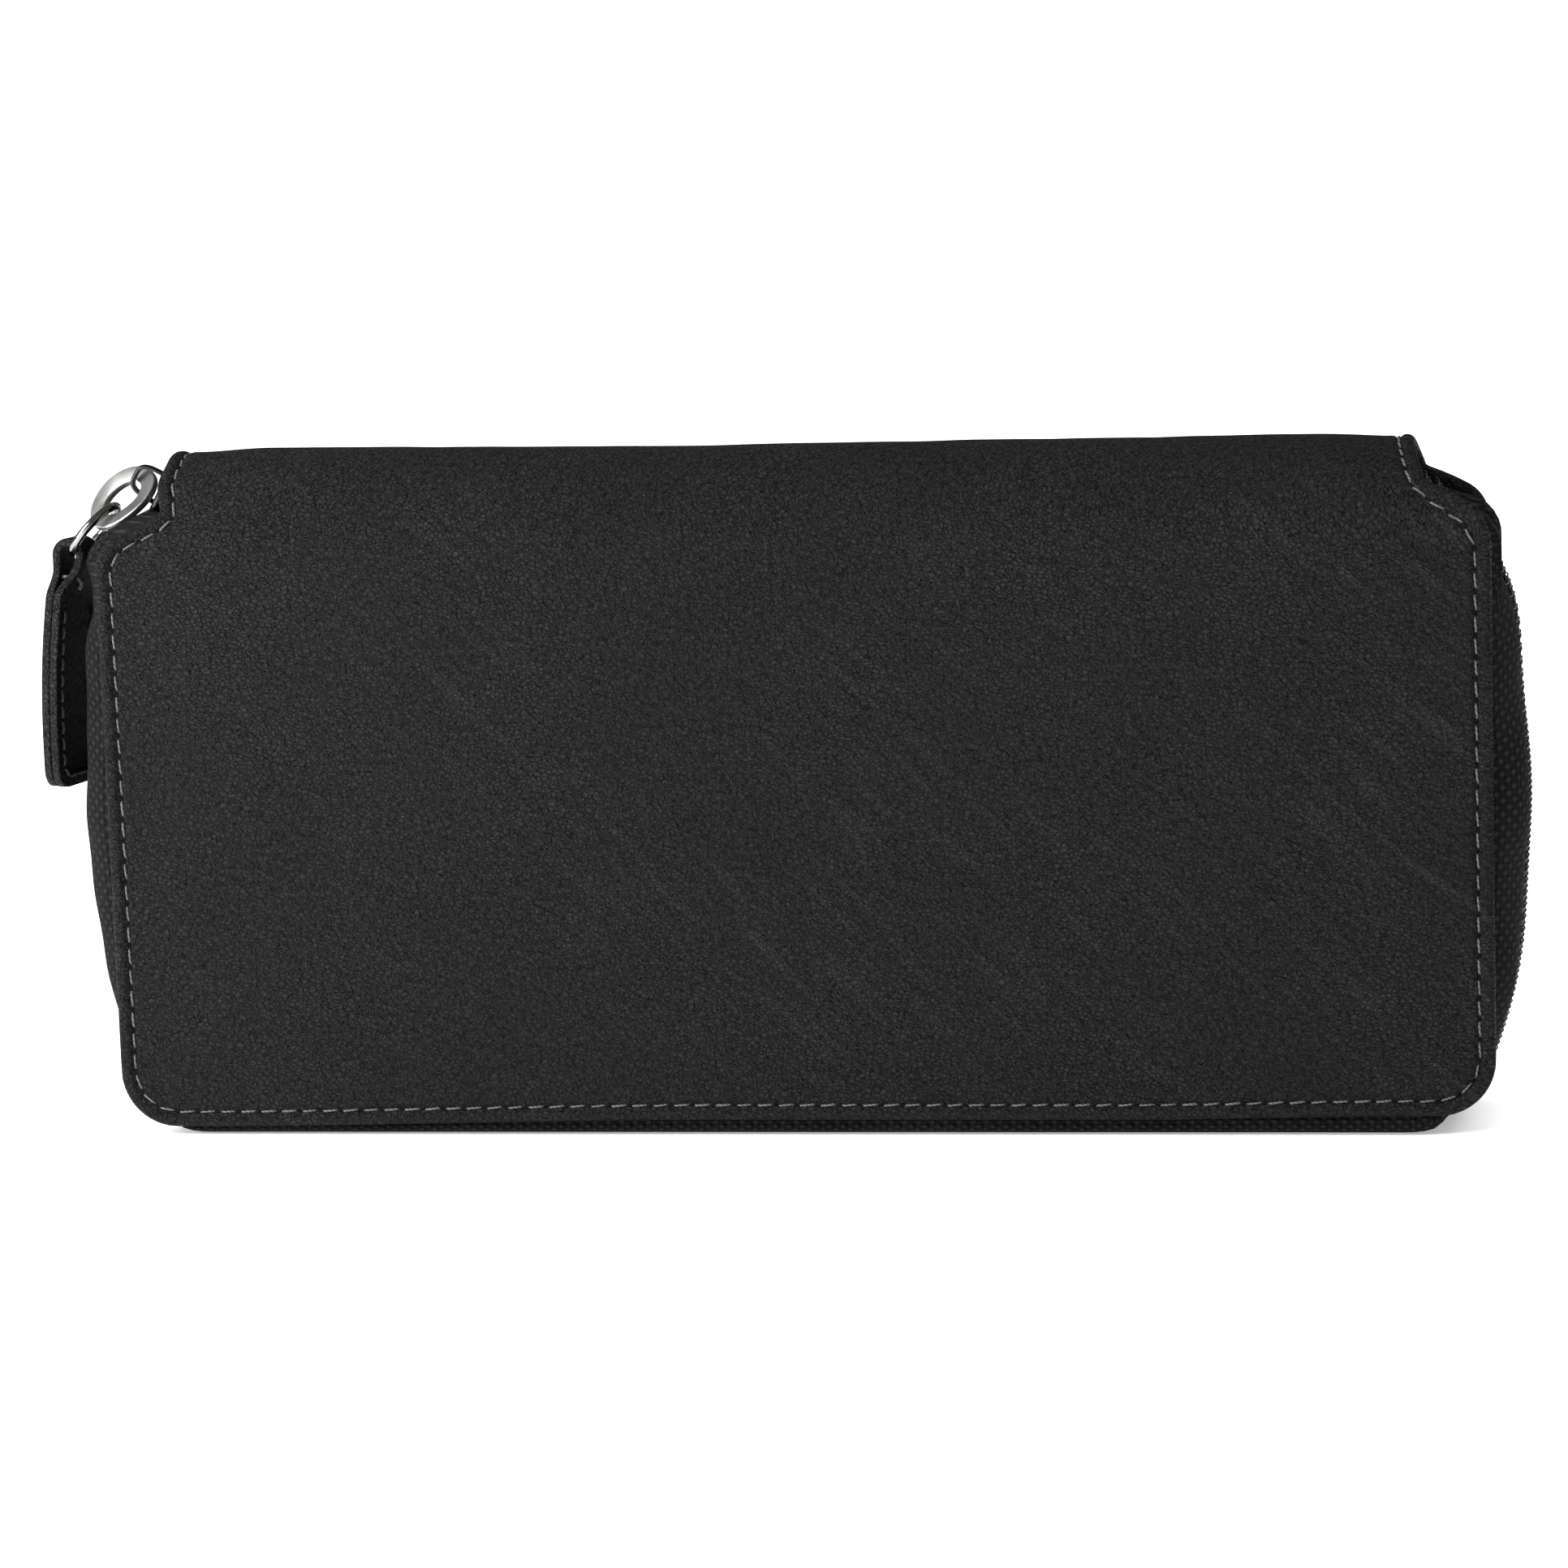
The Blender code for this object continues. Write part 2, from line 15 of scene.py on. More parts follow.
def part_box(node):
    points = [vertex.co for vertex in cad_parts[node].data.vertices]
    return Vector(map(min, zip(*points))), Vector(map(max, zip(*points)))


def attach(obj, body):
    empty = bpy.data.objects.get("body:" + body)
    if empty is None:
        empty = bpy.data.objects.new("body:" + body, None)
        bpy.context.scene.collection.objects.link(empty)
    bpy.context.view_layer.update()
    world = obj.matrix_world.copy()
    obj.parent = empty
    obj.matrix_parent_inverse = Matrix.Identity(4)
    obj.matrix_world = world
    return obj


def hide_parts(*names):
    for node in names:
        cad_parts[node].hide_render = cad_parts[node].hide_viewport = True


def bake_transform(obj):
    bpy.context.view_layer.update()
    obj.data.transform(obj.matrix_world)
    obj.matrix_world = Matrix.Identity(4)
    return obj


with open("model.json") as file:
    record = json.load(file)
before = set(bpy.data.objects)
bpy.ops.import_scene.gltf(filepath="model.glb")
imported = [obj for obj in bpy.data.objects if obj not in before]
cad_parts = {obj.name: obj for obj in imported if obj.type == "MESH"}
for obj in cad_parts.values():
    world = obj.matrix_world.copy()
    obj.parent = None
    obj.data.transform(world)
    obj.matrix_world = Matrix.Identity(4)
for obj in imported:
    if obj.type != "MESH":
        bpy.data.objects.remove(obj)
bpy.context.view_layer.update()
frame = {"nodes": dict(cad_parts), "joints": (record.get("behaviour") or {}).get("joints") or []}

MM = 0.001
JOINTS = {joint["name"]: joint for joint in frame["joints"]}


def span(node):
    """Lowest and highest corner of a CAD node, in millimetres."""
    low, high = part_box(node)
    return np.array(low) / MM, np.array(high) / MM


# ---------------------------------------------------------------- sizes from the frame
FRONT_LOW, FRONT_HIGH = span("outer_front")
_, SPINE_HIGH = span("outer_spine")
SPINE_R = float(-FRONT_LOW[1])
SPINE_Z = float(SPINE_HIGH[2]) - SPINE_R
PANEL_X = float(FRONT_HIGH[0])
SPINE_X = float(SPINE_HIGH[0])
PANEL_Z = float(FRONT_LOW[2])
STRAIGHT = SPINE_Z - PANEL_Z
CREST = STRAIGHT + SPINE_R * math.pi / 2
CORNER = 8.0
TOP_ROUND = 6.0
TOP_CORNER = 80.2 - PANEL_Z
SLOPE = math.radians(25.0)
ARC_X = float(-JOINTS["slider_travel"]["pos_m"][0]) / MM
ARC_Z = float(JOINTS["slider_travel"]["pos_m"][2]) / MM
ARC_R = float(span("front_chain")[1][0]) - ARC_X
ZIP_CORNER = 12.0
ZIP_TOP_DEG = 147.0
STITCH_INSET = 2.2
STITCH_PITCH = 2.95


# ---------------------------------------------------------------- mesh helpers
def smooth_step(x, low, high):
    t = np.clip((np.asarray(x, float) - low) / (high - low), 0, 1)
    return t * t * (3 - 2 * t)


def placed(name, data):
    """A new object in the scene, holding a mesh, lamp or camera."""
    obj = bpy.data.objects.new(name, data)
    bpy.context.collection.objects.link(obj)
    return obj


def make(name, verts, faces, mat, uvs=None, sharp=None):
    """A smooth-shaded object from points and per-vertex uvs, both in millimetres."""
    mesh = bpy.data.meshes.new(name)
    mesh.from_pydata([tuple(np.asarray(v, float) * MM) for v in verts], [], faces)
    if uvs is not None:
        layer = mesh.uv_layers.new(name="surface")
        order = np.zeros(len(mesh.loops), np.int32)
        mesh.loops.foreach_get("vertex_index", order)
        flat = np.asarray(uvs, np.float32)[order] * MM
        layer.data.foreach_set("uv", flat.ravel())
    work = bmesh.new()
    work.from_mesh(mesh)
    bmesh.ops.recalc_face_normals(work, faces=work.faces[:])
    if work.calc_volume(signed=True) < 0:
        bmesh.ops.reverse_faces(work, faces=work.faces[:])
    work.to_mesh(mesh)
    work.free()
    mesh.shade_smooth()
    if sharp:
        mesh.set_sharp_from_angle(angle=math.radians(sharp))
    mesh.materials.append(mat)
    return placed(name, mesh)


def loft(rings, closed=False, capped=True):
    """Vertices and faces of a tube through equal closed rings."""
    count = len(rings[0])
    verts = [p for ring in rings for p in ring]
    faces = []
    for i in range(len(rings) if closed else len(rings) - 1):
        a = i * count
        b = ((i + 1) % len(rings)) * count
        for j in range(count):
            k = (j + 1) % count
            faces.append((a + j, a + k, b + k, b + j))
    if capped and not closed:
        faces.append(tuple(range(count)))
        faces.append(tuple(range(len(verts) - count, len(verts))))
    return verts, faces


def merge(parts):
    """Several (verts, faces) sets as one."""
    verts, faces = [], []
    for part_verts, part_faces in parts:
        start = len(verts)
        verts.extend(part_verts)
        faces.extend(tuple(i + start for i in face) for face in part_faces)
    return verts, faces


def tube(points, radius, sides=8):
    """Round bar through points."""
    points = [Vector(p) for p in points]
    rings = []
    last = len(points) - 1
    for i, p in enumerate(points):
        step = (points[min(i + 1, last)] - points[max(i - 1, 0)]).normalized()
        side = step.cross(Vector((0.31, 0.52, 0.79))).normalized()
        other = step.cross(side)
        rings.append([p + (side * math.cos(a) + other * math.sin(a)) * radius
                      for a in (math.tau * k / sides for k in range(sides))])
    return loft(rings)


def shell_faces(rows, cols):
    """Faces of a closed sheet: one grid of points, a second behind it, and their edges."""
    count = rows * cols
    grid = np.arange(count).reshape(rows, cols)
    quads = np.stack([grid[:-1, :-1], grid[:-1, 1:], grid[1:, 1:], grid[1:, :-1]], -1)
    quads = quads.reshape(-1, 4)
    faces = [tuple(q) for q in quads.tolist()]
    faces += [tuple(q[::-1]) for q in (quads + count).tolist()]
    loop = list(grid[0, :]) + list(grid[1:, -1]) + list(grid[-1, -2::-1])
    loop += list(grid[-2:0:-1, 0])
    for a, b in zip(loop, loop[1:] + loop[:1]):
        faces.append((int(a), int(a + count), int(b + count), int(b)))
    return faces


def unit_steps(line):
    """Unit direction along a row of points, at each point."""
    ahead = np.gradient(line, axis=0)
    return ahead / np.linalg.norm(ahead, axis=1)[:, None]


def resample(points, pitch):
    """Points at an even pitch along a polyline, and the unit direction at each."""
    pts = np.asarray(points, float)
    steps = np.linalg.norm(np.diff(pts, axis=0), axis=1)
    run = np.concatenate([[0], np.cumsum(steps)])
    count = max(int(round(run[-1] / pitch)), 1)
    at = np.linspace(0, run[-1], count + 1)
    out = np.stack([np.interp(at, run, pts[:, k]) for k in range(pts.shape[1])], 1)
    return out, unit_steps(out)


# ---------------------------------------------------------------- material helpers
class Nodes:
    """Short calls for building a Principled material out of nodes."""

    def __init__(self, name, colour, roughness, metallic=0.0, specular=0.5):
        self.mat = bpy.data.materials.new(name)
        self.mat.use_nodes = True
        self.tree = self.mat.node_tree
        self.shader = self.tree.nodes["Principled BSDF"]
        self.set("Base Color", (*colour, 1))
        self.set("Roughness", roughness)
        self.set("Metallic", metallic)
        self.set("Specular IOR Level", specular)

    def set(self, socket, value):
        self.shader.inputs[socket].default_value = value

    def link(self, a, b):
        self.tree.links.new(a, b)

    def new(self, kind, **values):
        node = self.tree.nodes.new("ShaderNode" + kind)
        for key, value in values.items():
            if key in node.inputs:
                node.inputs[key].default_value = value
            else:
                setattr(node, key, value)
        return node

    def coords(self, uv=False, scale=(1, 1, 1), turn=0.0):
        turned = self.new("Mapping")
        turned.inputs["Rotation"].default_value = (0, 0, turn)
        if uv:
            self.link(self.new("UVMap", uv_map="surface").outputs[0], turned.inputs[0])
        else:
            self.link(self.new("TexCoord").outputs["Object"], turned.inputs[0])
        mapping = self.new("Mapping")
        mapping.inputs["Scale"].default_value = scale
        self.link(turned.outputs[0], mapping.inputs[0])
        return mapping.outputs[0]

    def noise(self, where, scale, detail=3.0, rough=0.55):
        node = self.new("TexNoise", Scale=scale, Detail=detail, Roughness=rough)
        self.link(where, node.inputs["Vector"])
        return node.outputs["Fac"]

    def cells(self, where, scale, feature="F1"):
        node = self.new("TexVoronoi", feature=feature, Scale=scale)
        self.link(where, node.inputs["Vector"])
        return node.outputs["Distance"]

    def math(self, operation, *values):
        node = self.new("Math", operation=operation)
        for socket, value in zip(node.inputs, values):
            if isinstance(value, (int, float)):
                socket.default_value = value
            else:
                self.link(value, socket)
        return node.outputs[0]

    def add(self, a, b):
        return self.math("ADD", a, b)

    def times(self, a, b):
        return self.math("MULTIPLY", a, b)

    def ramp(self, value, low, high, to_low=0.0, to_high=1.0):
        node = self.new("MapRange")
        node.inputs["From Min"].default_value = low
        node.inputs["From Max"].default_value = high
        node.inputs["To Min"].default_value = to_low
        node.inputs["To Max"].default_value = to_high
        self.link(value, node.inputs["Value"])
        return node.outputs["Result"]

    def mix(self, factor, a, b):
        node = self.new("Mix", data_type="RGBA")
        for socket, value in ((node.inputs[6], a), (node.inputs[7], b)):
            if isinstance(value, tuple):
                socket.default_value = (*value, 1)
            else:
                self.link(value, socket)
        self.link(factor, node.inputs[0])
        return node.outputs[2]

    def bump(self, height, distance, strength=1.0, below=None):
        node = self.new("Bump", Strength=strength, Distance=distance)
        self.link(height, node.inputs["Height"])
        if below is not None:
            self.link(below, node.inputs["Normal"])
        return node.outputs["Normal"]

    def finish(self, colour=None, rough=None, normal=None):
        for socket, value in (("Base Color", colour), ("Roughness", rough),
                              ("Normal", normal)):
            if value is not None:
                self.link(value, self.shader.inputs[socket])
        return self.mat


def leather(name, dark, light, uv=True, creases=1.0, rough=(0.40, 0.60)):
    """Fine-grained leather: pores between small cells, soft wrinkles, uneven dye, painted shade
    in the pores and cracks, painted highlight on the crease lines.
    """
    n = Nodes(name, light, 0.5, specular=0.10)
    flat = n.coords(uv)

    def warped(scale, amount, stretch, turn):
        drift = n.new("TexNoise", Scale=scale, Detail=2.0)
        n.link(flat, drift.inputs["Vector"])
        shift = n.new("VectorMath", operation="MULTIPLY_ADD")
        n.link(drift.outputs["Color"], shift.inputs[0])
        shift.inputs[1].default_value = (amount, amount, amount)
        n.link(flat, shift.inputs[2])
        bent = n.new("Mapping")
        bent.inputs["Scale"].default_value = stretch
        bent.inputs["Rotation"].default_value = (0, 0, math.radians(turn))
        n.link(shift.outputs[0], bent.inputs[0])
        return bent.outputs[0]

    bent = warped(260.0, 0.0011, (1.0, 1.45, 1.2), 28)
    loose = warped(210.0, 0.0065, (1.0, 1.7, 1.3), -35)
    cells = n.cells(bent, 1500)
    small = n.cells(bent, 3600)
    ridge = n.cells(bent, 1250, "DISTANCE_TO_EDGE")
    vein = n.cells(loose, 210, "DISTANCE_TO_EDGE")
    patch = n.ramp(n.noise(flat, 34, 4), 0.35, 0.7)
    strong = n.ramp(patch, 0, 1, 0.6, 1.0)
    pit = n.times(n.ramp(cells, 0.36, 0.02), strong)
    spots = n.times(n.ramp(small, 0.32, 0.02), strong)
    crack = n.times(n.ramp(ridge, 0.2, 0.02), strong)
    vein = n.times(n.ramp(vein, 0.035, 0.0), n.ramp(n.noise(flat, 75, 2), 0.42, 0.62))
    slanted = n.coords(uv, (60, 560, 560), math.radians(-44))
    lines = n.noise(slanted, 1.0, 1, 0.5)
    where = n.ramp(n.noise(flat, 16, 2), 0.44, 0.62)
    lines = n.times(n.ramp(lines, 0.52, 0.72), where)
    level = n.coords(uv, (45, 170, 170), math.radians(-52))
    folds = n.times(n.ramp(n.noise(level, 1.0, 1, 0.5), 0.5, 0.75),
                    n.ramp(n.noise(flat, 11, 1), 0.5, 0.66))
    sunk_depth_and_shade = n.add(n.times(pit, 0.9), n.times(crack, 0.7))
    sunk_depth_and_shade = n.add(sunk_depth_and_shade, n.times(spots, 0.35))
    sunk_depth_and_shade = n.add(sunk_depth_and_shade, n.times(vein, 0.12 * creases))
    height = n.math("SUBTRACT", n.times(n.noise(flat, 9000, 2), 0.25), sunk_depth_and_shade)
    normal = n.bump(height, 0.00034, 1.0)
    crease = n.add(n.times(lines, 0.5), n.times(folds, 0.4))
    crease = n.math("SUBTRACT", crease, n.times(vein, 0.35))
    normal = n.bump(crease, 0.00032 * creases, 0.7, normal)
    tone = n.add(n.times(patch, 0.35),
                 n.times(n.ramp(n.noise(flat, 1300, 3), 0.35, 0.7), 0.65))
    # Painted highlight: the raised crease lines are coloured lighter.
    tone = n.add(tone, n.times(lines, 0.4 * creases))
    base = n.mix(tone, dark, light)
    # Painted shade: the pores, cracks and veins are darkened towards near-black.
    base = n.mix(n.ramp(sunk_depth_and_shade, 0.12, 1.0, 0.0, 0.92), base, tuple(v * 0.15 for v in dark))
    gloss = n.add(n.ramp(tone, 0, 1, rough[1], rough[0]), n.times(sunk_depth_and_shade, 0.3))
    return n.finish(base, gloss, normal)


def weave(name, dark, light, pitch, uv=True, relief=0.00012, sheen=0.15):
    """Woven cloth: warp and weft humps at a thread pitch in millimetres, with painted shade in
    the hollows and painted highlight on the humps.
    """
    n = Nodes(name, light, 0.85, specular=0.06)
    n.set("Sheen Weight", sheen)
    n.set("Sheen Roughness", 0.5)
    flat = n.coords(uv)
    parts = n.new("SeparateXYZ")
    n.link(flat, parts.inputs[0])
    along, across = parts.outputs[0], parts.outputs[1 if uv else 2]
    turn = math.tau / (pitch * MM)
    a = n.math("SINE", n.times(along, turn))
    b = n.math("SINE", n.times(across, turn))
    ribs = n.add(n.math("ABSOLUTE", a), n.math("ABSOLUTE", b))
    hump = n.add(n.times(n.times(a, b), 0.5), n.times(ribs, 0.35))
    fuzz = n.noise(flat, 5200, 2)
    height = n.add(hump, n.times(fuzz, 0.35))
    normal = n.bump(height, relief, 0.9)
    # Painted shade and highlight: the colour follows the humps, dark between the threads and
    # light on top; the noise adds uneven tone.
    tone = n.ramp(n.add(hump, n.times(n.noise(flat, 60, 2), 0.6)), 0.15, 1.35)
    return n.finish(n.mix(tone, dark, light), None, normal)


def metal(name, colour, rough):
    """Plated metal with faint brushing and a hazed sheen."""
    n = Nodes(name, colour, rough, 1.0)
    flat = n.coords()
    long = n.coords(False, (3600, 360, 900))
    haze = n.noise(flat, 420, 4)
    lines = n.noise(long, 1.0, 2)
    tint = n.mix(n.ramp(haze, 0.3, 0.7), tuple(v * 0.86 for v in colour), colour)
    sheen = n.ramp(n.add(haze, n.times(lines, 0.35)), 0.3, 1.2,
                   rough * 0.75, rough * 1.35)
    return n.finish(tint, sheen, n.bump(lines, 0.000012, 0.35))


def thread(name, dark, light):
    """Twisted sewing thread: slanted plies and a waxed sheen."""
    n = Nodes(name, light, 0.55, specular=0.4)
    flat = n.coords(False, (1, 1, 1), 0)
    ply = n.new("TexWave", wave_type="BANDS", bands_direction="DIAGONAL", Scale=900.0,
                Distortion=1.2, Detail=2.0)
    n.link(flat, ply.inputs["Vector"])
    fuzz = n.noise(flat, 6000, 2)
    tone = n.times(ply.outputs["Fac"], n.ramp(fuzz, 0.2, 0.8, 0.6, 1.0))
    return n.finish(n.mix(tone, dark, light), None, n.bump(tone, 0.00006, 0.8))


def plastic(name, colour, rough):
    """Moulded nylon, a little uneven in tint and gloss."""
    n = Nodes(name, colour, rough)
    flat = n.coords()
    haze = n.noise(flat, 1500, 3)
    tint = n.mix(n.ramp(haze, 0.3, 0.7), tuple(v * 0.6 for v in colour), colour)
    return n.finish(tint, n.ramp(haze, 0.2, 0.8, rough * 0.7, rough * 1.4),
                    n.bump(haze, 0.00002, 0.4))


def board(name):
    """Grey board with its fibres."""
    n = Nodes(name, (0.2, 0.18, 0.15), 0.9)
    flat = n.coords()
    fibres = n.noise(n.coords(False, (400, 1200, 2600)), 1.0, 4)
    tone = n.ramp(n.add(fibres, n.noise(flat, 90, 2)), 0.6, 1.4)
    return n.finish(n.mix(tone, (0.13, 0.12, 0.10), (0.24, 0.22, 0.18)), None,
                    n.bump(fibres, 0.00006, 0.6))


MATS = {
    "cover": leather("cover_leather", (0.0040, 0.0040, 0.0041), (0.0215, 0.0215, 0.022)),
    "pocket": leather("pocket_leather", (0.008, 0.008, 0.009), (0.022, 0.022, 0.023),
                      creases=0.4),
    # Pull leather: black partly as its own colour and partly as painted shade for the shadowed
    # inner face the pull turns to the front.
    "pull": leather("pull_leather", (0.002, 0.002, 0.002), (0.006, 0.006, 0.006),
                    uv=False, creases=0.6, rough=(0.6, 0.75)),
    "pull_edge": leather("pull_edge_paint", (0.010, 0.010, 0.010), (0.028, 0.028, 0.028),
                         uv=False, creases=0.8, rough=(0.45, 0.6)),
    # Near-black: painted shade for the needle holes.
    "hole": Nodes("needle_hole_shade", (0.002, 0.002, 0.002), 0.9, specular=0.1).finish(),
    "thread": thread("waxed_thread", (0.04, 0.04, 0.043), (0.145, 0.145, 0.155)),
    "dark_thread": thread("dark_thread", (0.010, 0.010, 0.010), (0.035, 0.035, 0.035)),
    "tape": weave("zip_tape", (0.0004, 0.0004, 0.0004), (0.026, 0.026, 0.0265), 1.9,
                  relief=0.0009, sheen=0.0),
    "lining": weave("lining_cloth", (0.008, 0.008, 0.009), (0.030, 0.030, 0.032), 0.34),
    "page": weave("page_cloth", (0.008, 0.008, 0.009), (0.030, 0.030, 0.032), 0.34,
                  uv=False),
    "coil": plastic("coil_nylon", (0.008, 0.008, 0.0085), 0.2),
    "nickel": metal("satin_nickel", (0.74, 0.735, 0.72), 0.36),
    "dark_nickel": metal("dark_nickel", (0.30, 0.295, 0.285), 0.20),
    "slider": metal("black_slider", (0.045, 0.045, 0.046), 0.36),
    "board": board("stiffener_board"),
}


# ---------------------------------------------------------------- the leather cover
def half_width(s):
    """Half width of the cover at the height s along it from a panel's lower edge."""
    s = np.asarray(s, float)
    base = PANEL_X - CORNER
    low = base + np.sqrt(np.clip(CORNER ** 2 - (CORNER - np.clip(s, 0, CORNER)) ** 2, 0, None))
    rise = np.clip(s - TOP_CORNER, 0, None)
    arc_end = TOP_ROUND * math.cos(SLOPE)
    top = PANEL_X - TOP_ROUND
    arc = top + np.sqrt(np.clip(TOP_ROUND ** 2 - np.minimum(rise, arc_end) ** 2, 0, None))
    line = top + TOP_ROUND * math.sin(SLOPE) - (rise - arc_end) / math.tan(SLOPE)
    high = np.where(rise < arc_end, arc, line)
    beyond = high - SPINE_X
    high = SPINE_X + 0.5 * (beyond + np.sqrt(beyond ** 2 + 0.6 ** 2))
    return np.minimum(low, high)


def outline(steps=900):
    """Edge of one cover half for x > 0, from the middle of the lower edge to the crest."""
    turn = np.linspace(0, math.pi / 2, 40)
    low = [(x, 0.0) for x in np.linspace(0, PANEL_X - CORNER, 120)]
    corner = [(PANEL_X - CORNER + CORNER * math.sin(a), CORNER - CORNER * math.cos(a))
              for a in turn[1:]]
    s = np.linspace(CORNER + 0.2, CREST + 3, steps)
    side = list(zip(half_width(s), s))
    return np.array(low + corner + side)


EDGE = outline()


def edge_distance(x, s):
    """Distance from points of the cover to its edge, along the leather."""
    p = np.stack([np.abs(x).ravel(), np.asarray(s, float).ravel()], 1)
    best = np.full(len(p), 1e9)
    a, b = EDGE[:-1], EDGE[1:]
    ab = b - a
    length = (ab ** 2).sum(1)
    for i in range(0, len(p), 2000):
        q = p[i:i + 2000, None, :]
        t = np.clip(((q - a) * ab).sum(2) / length, 0, 1)
        gap = q - (a + t[..., None] * ab)
        best[i:i + 2000] = np.sqrt((gap ** 2).sum(2).min(1))
    return best.reshape(np.shape(x))


def cover_place(s, depth, side):
    """Y and Z on the cover at the height s, at a depth under the nominal outer face."""
    s = np.asarray(s, float)
    turn = np.clip((s - STRAIGHT) / SPINE_R, 0, None)
    radius = SPINE_R - np.asarray(depth, float)
    y = side * radius * np.cos(turn)
    z = np.where(turn > 0, SPINE_Z + radius * np.sin(turn), PANEL_Z + s)
    return y, z


NOTCH = TOP_CORNER + TOP_ROUND + 2.0
NOTCH_LIFT = 2.3
FOOT_RISE_RIGHT, FOOT_DROP_LEFT = 0.55, 0.95
FLARE_LEFT, FLARE_RIGHT = 0.85, 0.6
CREST_SLIP = 0.8
CREST_LIFT_LEFT = 0.7


def on_leather(x, s, depth, side):
    """Points of the cover, with the leather's own lean: uneven ends, notches and foot."""
    x, s = np.asarray(x, float), np.asarray(s, float)
    left, right = smooth_step(-x, 10.0, 86.0), smooth_step(x, 45.0, 86.0)
    lift = NOTCH_LIFT * right * smooth_step(s, NOTCH - 8.0, NOTCH) \
        * (1 - smooth_step(s, NOTCH + 1.0, CREST - 0.5))
    lift = lift + (FOOT_RISE_RIGHT * right - FOOT_DROP_LEFT * left) \
        * (1 - smooth_step(s, 0.0, 45.0))
    flare = FLARE_LEFT * np.exp(-((s - NOTCH - 4.5) / 3.2) ** 2) * smooth_step(-x, 70, 88)
    flare = flare - FLARE_RIGHT * np.exp(-((s - NOTCH + 1.0) / 4.0) ** 2) \
        * smooth_step(x, 70, 88)
    slip = CREST_SLIP * smooth_step(s, NOTCH, CREST)
    y, z = cover_place(s + lift, depth, side)
    z = z + CREST_LIFT_LEFT * left * smooth_step(z, 86.0, 93.5)
    return np.stack([x - slip - flare, y, z], -1)


RIM = 0.9
RIM_DEPTH = 0.75
GROOVE_DEPTH, GROOVE_WIDTH = 0.46, 0.50
BODY_RISE = 0.42
WAVE_HEIGHT = 0.16


def outer_depth(d):
    """Depth of the outer face at a distance from its edge: rim, stitch groove, body."""
    lip = np.clip(1 - d / RIM, 0, 1)
    depth = RIM_DEPTH * (1 - np.sqrt(np.clip(1 - lip ** 2, 0, 1)))
    depth += GROOVE_DEPTH * np.exp(-((d - STITCH_INSET) / GROOVE_WIDTH) ** 2)
    depth += 0.10 * smooth_step(d, 2.6, 3.4) - BODY_RISE * smooth_step(d, 3.0, 14.0)
    depth -= 0.10 * np.exp(-((d - 1.2) / 0.6) ** 2)
    return depth


def waves(x, s, side):
    """Slow unevenness of the leather over its board."""
    flat = [noise.noise(Vector((a * 0.045, b * 0.06, side * 7.3)))
            + 0.45 * noise.noise(Vector((a * 0.13, b * 0.17, side * 3.1)))
            for a, b in zip(np.ravel(x), np.ravel(s))]
    return WAVE_HEIGHT * np.array(flat).reshape(np.shape(x))


def spread(low, high, fine, coarse, reach):
    """Values from low to high, fine near both ends and coarse in between."""
    ramp = []
    at = 0.0
    while at < reach:
        ramp.append(at)
        at += fine + (coarse - fine) * (at / reach) ** 2
    ramp = np.array(ramp)
    middle = np.linspace(low + reach, high - reach,
                         max(int((high - low - 2 * reach) / coarse), 2))
    return np.concatenate([low + ramp, middle, high - ramp[::-1]])


def cover_half(name, side):
    """Half the cover, from a panel's lower edge to the crest of the spine."""
    rows = np.concatenate([
        spread(0.0, TOP_CORNER, 0.16, 1.6, 7.0),
        np.arange(TOP_CORNER + 0.35, CREST - 0.05, 0.35), [CREST]])
    share = spread(-1.0, 1.0, 0.16 / PANEL_X, 1.5 / PANEL_X, 7.0 / PANEL_X)
    s = np.repeat(rows[:, None], len(share), 1)
    x = half_width(rows)[:, None] * share[None, :]
    d = edge_distance(x, s)
    out = outer_depth(d) - waves(x, s, side) * smooth_step(d, 2.6, 9.0)
    lip = np.sqrt(np.clip(1 - np.clip(1 - d / RIM, 0, 1) ** 2, 0, 1))
    inner = RIM_DEPTH + 0.05 + (1.36 - RIM_DEPTH) * lip
    verts, uvs = [], []
    for depth in (out, inner):
        verts.append(on_leather(x, s, depth, side).reshape(-1, 3))
        uvs.append(np.stack([x, s * side], -1).reshape(-1, 2))
    verts = np.concatenate(verts)
    uvs = np.concatenate(uvs)
    return make(name, verts, shell_faces(*x.shape), MATS["cover"], uvs)


def fold_blend(obj):
    """Bake a piece's placement into its mesh."""
    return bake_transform(obj)


def stitch_line():
    """The row of stitches around one cover half, as (x, s), from crest to crest."""
    edge = EDGE[EDGE[:, 1] <= CREST + 2]
    ahead = unit_steps(edge)
    inward = np.stack([-ahead[:, 1], ahead[:, 0]], 1)
    line = edge + inward * STITCH_INSET
    line = line[line[:, 1] <= CREST]
    right = line[::-1]
    left = line * np.array([-1, 1])
    return np.concatenate([right, left[1:]])


def on_cover(x, s, lift, side):
    """Point on the cover's outer face at (x, s), lifted off the surface."""
    x, s = np.asarray(x, float), np.asarray(s, float)
    depth = outer_depth(edge_distance(x, s)) - lift
    return on_leather(x, s, depth, side)


